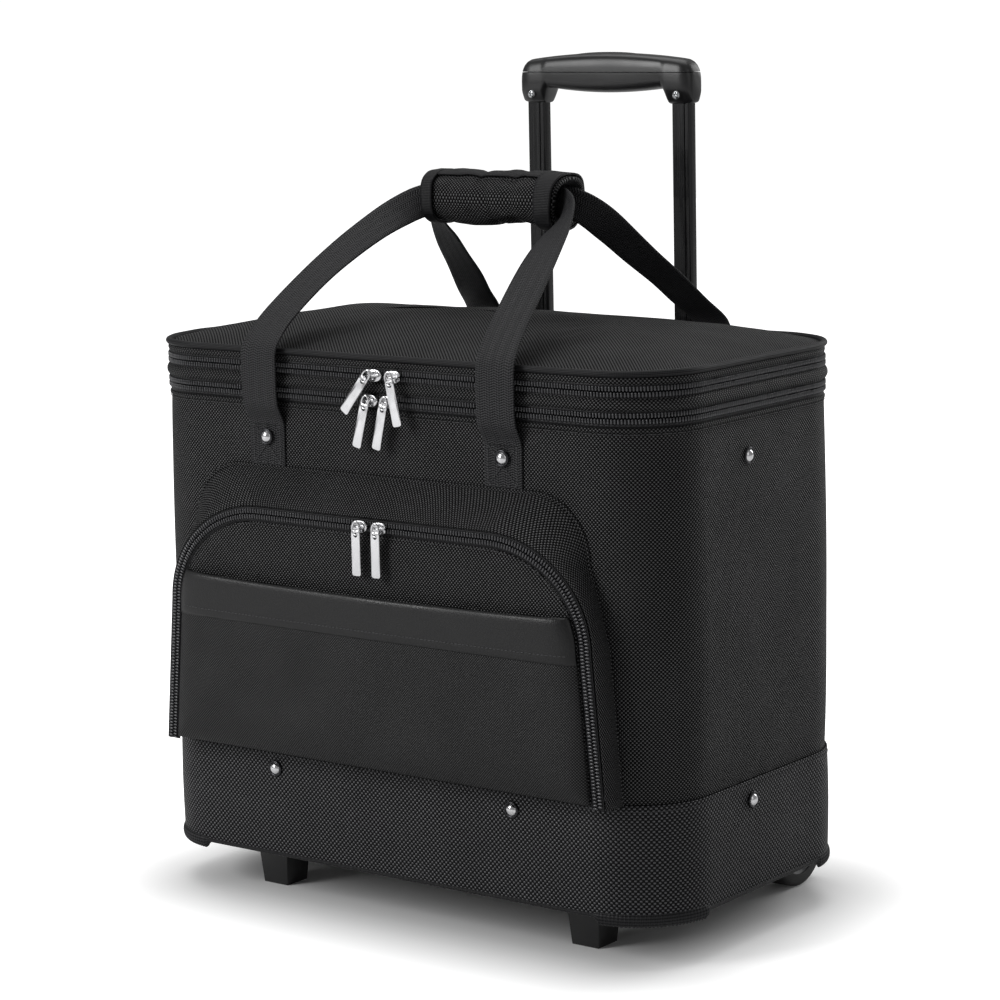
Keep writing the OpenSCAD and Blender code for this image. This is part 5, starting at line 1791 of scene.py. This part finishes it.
def make_lights(scene):
    """Four softboxes."""
    for name, spot, aim, width, height, power in (
        ("right_softbox", (2.3, -0.9, 1.3), (0.1, 0, 0.25), 1.4, 1.8, 5),
        ("left_softbox", (-1.6, -2.6, 1.6), (0, 0, 0.25), 1.2, 1.6, 58),
        ("back_softbox", (0.9, 2.9, 1.5), (0, 0, 0.25), 1.4, 1.6, 26),
        ("top_softbox", (-0.3, 0.4, 2.6), (0, 0, 0.3), 2.2, 2.2, 30),
    ):
        light = bpy.data.lights.new(name, "AREA")
        light.shape = "RECTANGLE"
        light.size, light.size_y = width, height
        light.energy = power
        lamp = bpy.data.objects.new(name, light)
        scene.collection.objects.link(lamp)
        lamp.location = spot
        lamp.rotation_euler = (Vector(aim) - Vector(spot)).to_track_quat("-Z", "Y").to_euler()


def make_camera(scene):
    """Camera in front of the bag's right corner, a little above it and turned slightly about its view."""
    azimuth, elevation, roll = (math.radians(a) for a in (37.056, 9.405, -1.160))
    sensor, focal, distance = 36.0, 3.1563, 2.2576
    back = Vector((math.sin(azimuth) * math.cos(elevation), -math.cos(azimuth) * math.cos(elevation),
                   math.sin(elevation)))
    right = Vector((math.cos(azimuth), math.sin(azimuth), 0))
    up = back.cross(right)
    across = right * math.cos(roll) + up * math.sin(roll)
    above = up * math.cos(roll) - right * math.sin(roll)
    data = bpy.data.cameras.new("camera")
    data.sensor_width = sensor
    data.lens = focal * sensor
    data.clip_end = 50
    camera = bpy.data.objects.new("camera", data)
    scene.collection.objects.link(camera)
    target = right * 0.005 + Vector((0, CENTRE_Y, LIFT + 0.2717))
    matrix = Matrix((across, above, back)).transposed().to_4x4()
    matrix.translation = target + back * distance
    camera.matrix_world = matrix
    scene.camera = camera


def make_stage():
    """White floor and surround, soft lights and the camera."""
    scene = bpy.context.scene
    make_floor()
    make_surround(scene)
    make_lights(scene)
    make_camera(scene)
    scene.view_settings.view_transform = "Standard"
    scene.view_settings.look = "None"


# Add-on


class FLIGHTCASE_OT_cover(bpy.types.Operator):
    """Body fabric on its foam, and the panel that hinges the lid"""

    bl_idname = "flight_case.cover"
    bl_label = "Body cover"
    bl_options = {"REGISTER", "UNDO"}

    def execute(self, context):
        make_cover()
        return {"FINISHED"}


class FLIGHTCASE_OT_lower_band(bpy.types.Operator):
    """Coated band round the base, with its binding"""

    bl_idname = "flight_case.lower_band"
    bl_label = "Lower band"
    bl_options = {"REGISTER", "UNDO"}

    def execute(self, context):
        make_band()
        return {"FINISHED"}


class FLIGHTCASE_OT_lid(bpy.types.Operator):
    """Crowned top panel with its side band and piping"""

    bl_idname = "flight_case.lid"
    bl_label = "Lid"
    bl_options = {"REGISTER", "UNDO"}

    def execute(self, context):
        make_lid()
        return {"FINISHED"}


class FLIGHTCASE_OT_tray(bpy.types.Operator):
    """Rolled wall and floor of the flat lid compartment"""

    bl_idname = "flight_case.tray"
    bl_label = "Lid compartment"
    bl_options = {"REGISTER", "UNDO"}

    def execute(self, context):
        make_tray()
        return {"FINISHED"}


class FLIGHTCASE_OT_zips(bpy.types.Operator):
    """Tapes, teeth and stitches of both zips"""

    bl_idname = "flight_case.zips"
    bl_label = "Zips"
    bl_options = {"REGISTER", "UNDO"}

    def execute(self, context):
        make_zips()
        return {"FINISHED"}


class FLIGHTCASE_OT_pocket(bpy.types.Operator):
    """Arched front pocket with its zip, slip pocket and trim band"""

    bl_idname = "flight_case.pocket"
    bl_label = "Front pocket"
    bl_options = {"REGISTER", "UNDO"}

    def execute(self, context):
        make_pocket()
        return {"FINISHED"}


class FLIGHTCASE_OT_straps(bpy.types.Operator):
    """Both lengths of webbing, with their box stitches"""

    bl_idname = "flight_case.straps"
    bl_label = "Carry straps"
    bl_options = {"REGISTER", "UNDO"}

    def execute(self, context):
        make_straps()
        return {"FINISHED"}


class FLIGHTCASE_OT_grip(bpy.types.Operator):
    """Padded wrap of the carry grip"""

    bl_idname = "flight_case.grip"
    bl_label = "Carry grip"
    bl_options = {"REGISTER", "UNDO"}

    def execute(self, context):
        make_grip()
        return {"FINISHED"}


class FLIGHTCASE_OT_rivets(bpy.types.Operator):
    """Dome rivets with dark rims"""

    bl_idname = "flight_case.rivets"
    bl_label = "Rivets"
    bl_options = {"REGISTER", "UNDO"}

    def execute(self, context):
        make_rivets()
        return {"FINISHED"}


class FLIGHTCASE_OT_sliders(bpy.types.Operator):
    """Sliders and pull tabs of the three zips"""

    bl_idname = "flight_case.sliders"
    bl_label = "Zip sliders"
    bl_options = {"REGISTER", "UNDO"}

    def execute(self, context):
        make_sliders()
        return {"FINISHED"}


class FLIGHTCASE_OT_trolley_grip(bpy.types.Operator):
    """Shells, screws and release button of the trolley grip"""

    bl_idname = "flight_case.trolley_grip"
    bl_label = "Trolley grip"
    bl_options = {"REGISTER", "UNDO"}

    def execute(self, context):
        make_trolley_grip()
        return {"FINISHED"}


class FLIGHTCASE_OT_tubes(bpy.types.Operator):
    """Three stages of drawn tube"""

    bl_idname = "flight_case.tubes"
    bl_label = "Trolley tubes"
    bl_options = {"REGISTER", "UNDO"}

    def execute(self, context):
        make_tubes()
        return {"FINISHED"}


class FLIGHTCASE_OT_sleeve(bpy.types.Operator):
    """Cloth sleeve, bezel and bracket of the trolley"""

    bl_idname = "flight_case.sleeve"
    bl_label = "Trolley sleeve"
    bl_options = {"REGISTER", "UNDO"}

    def execute(self, context):
        make_sleeve()
        return {"FINISHED"}


class FLIGHTCASE_OT_running_gear(bpy.types.Operator):
    """Feet, wheels, wheel housings and fittings"""

    bl_idname = "flight_case.running_gear"
    bl_label = "Running gear"
    bl_options = {"REGISTER", "UNDO"}

    def execute(self, context):
        make_running_gear()
        return {"FINISHED"}


class FLIGHTCASE_OT_inside(bpy.types.Operator):
    """Lining and stiffening board"""

    bl_idname = "flight_case.inside"
    bl_label = "Inside of the bag"
    bl_options = {"REGISTER", "UNDO"}

    def execute(self, context):
        make_inside()
        return {"FINISHED"}


class FLIGHTCASE_OT_stage(bpy.types.Operator):
    """Pale floor and surround, soft lights and the camera"""

    bl_idname = "flight_case.stage"
    bl_label = "Floor, lights and camera"
    bl_options = {"REGISTER", "UNDO"}

    def execute(self, context):
        make_stage()
        return {"FINISHED"}


PIECES = (
    FLIGHTCASE_OT_cover,
    FLIGHTCASE_OT_lower_band,
    FLIGHTCASE_OT_lid,
    FLIGHTCASE_OT_tray,
    FLIGHTCASE_OT_zips,
    FLIGHTCASE_OT_pocket,
    FLIGHTCASE_OT_straps,
    FLIGHTCASE_OT_grip,
    FLIGHTCASE_OT_rivets,
    FLIGHTCASE_OT_sliders,
    FLIGHTCASE_OT_trolley_grip,
    FLIGHTCASE_OT_tubes,
    FLIGHTCASE_OT_sleeve,
    FLIGHTCASE_OT_running_gear,
    FLIGHTCASE_OT_inside,
    FLIGHTCASE_OT_stage,
)


class FLIGHTCASE_PT_sidebar(bpy.types.Panel):
    """Sizes, colours and pieces of the flight case"""

    bl_idname = "FLIGHTCASE_PT_sidebar"
    bl_label = "Flight Case"
    bl_space_type = "VIEW_3D"
    bl_region_type = "UI"
    bl_category = "Flight Case"

    def draw(self, context):
        for group in (sizes(), colours()):
            column = self.layout.column(align=True)
            for key in group.__annotations__:
                column.prop(group, key)
        for piece in PIECES:
            self.layout.operator(piece.bl_idname)


CLASSES = (CaseSizes, CaseColours, *PIECES, FLIGHTCASE_PT_sidebar)


def register():
    """Registers the add-on's classes, and puts its settings on the scene."""
    for cls in CLASSES:
        bpy.utils.register_class(cls)
    bpy.types.Scene.case_sizes = bpy.props.PointerProperty(type=CaseSizes)
    bpy.types.Scene.case_colours = bpy.props.PointerProperty(type=CaseColours)


def unregister():
    """Takes off again what register put on."""
    del bpy.types.Scene.case_colours
    del bpy.types.Scene.case_sizes
    for cls in reversed(CLASSES):
        bpy.utils.unregister_class(cls)


def main():
    """Builds every piece in turn."""
    register()
    for piece in PIECES:
        name = piece.bl_idname.split(".")[1]
        if getattr(bpy.ops.flight_case, name)() != {"FINISHED"}:
            raise RuntimeError(f"{piece.bl_label} wasn't built")


if __name__ == "__main__":
    main()
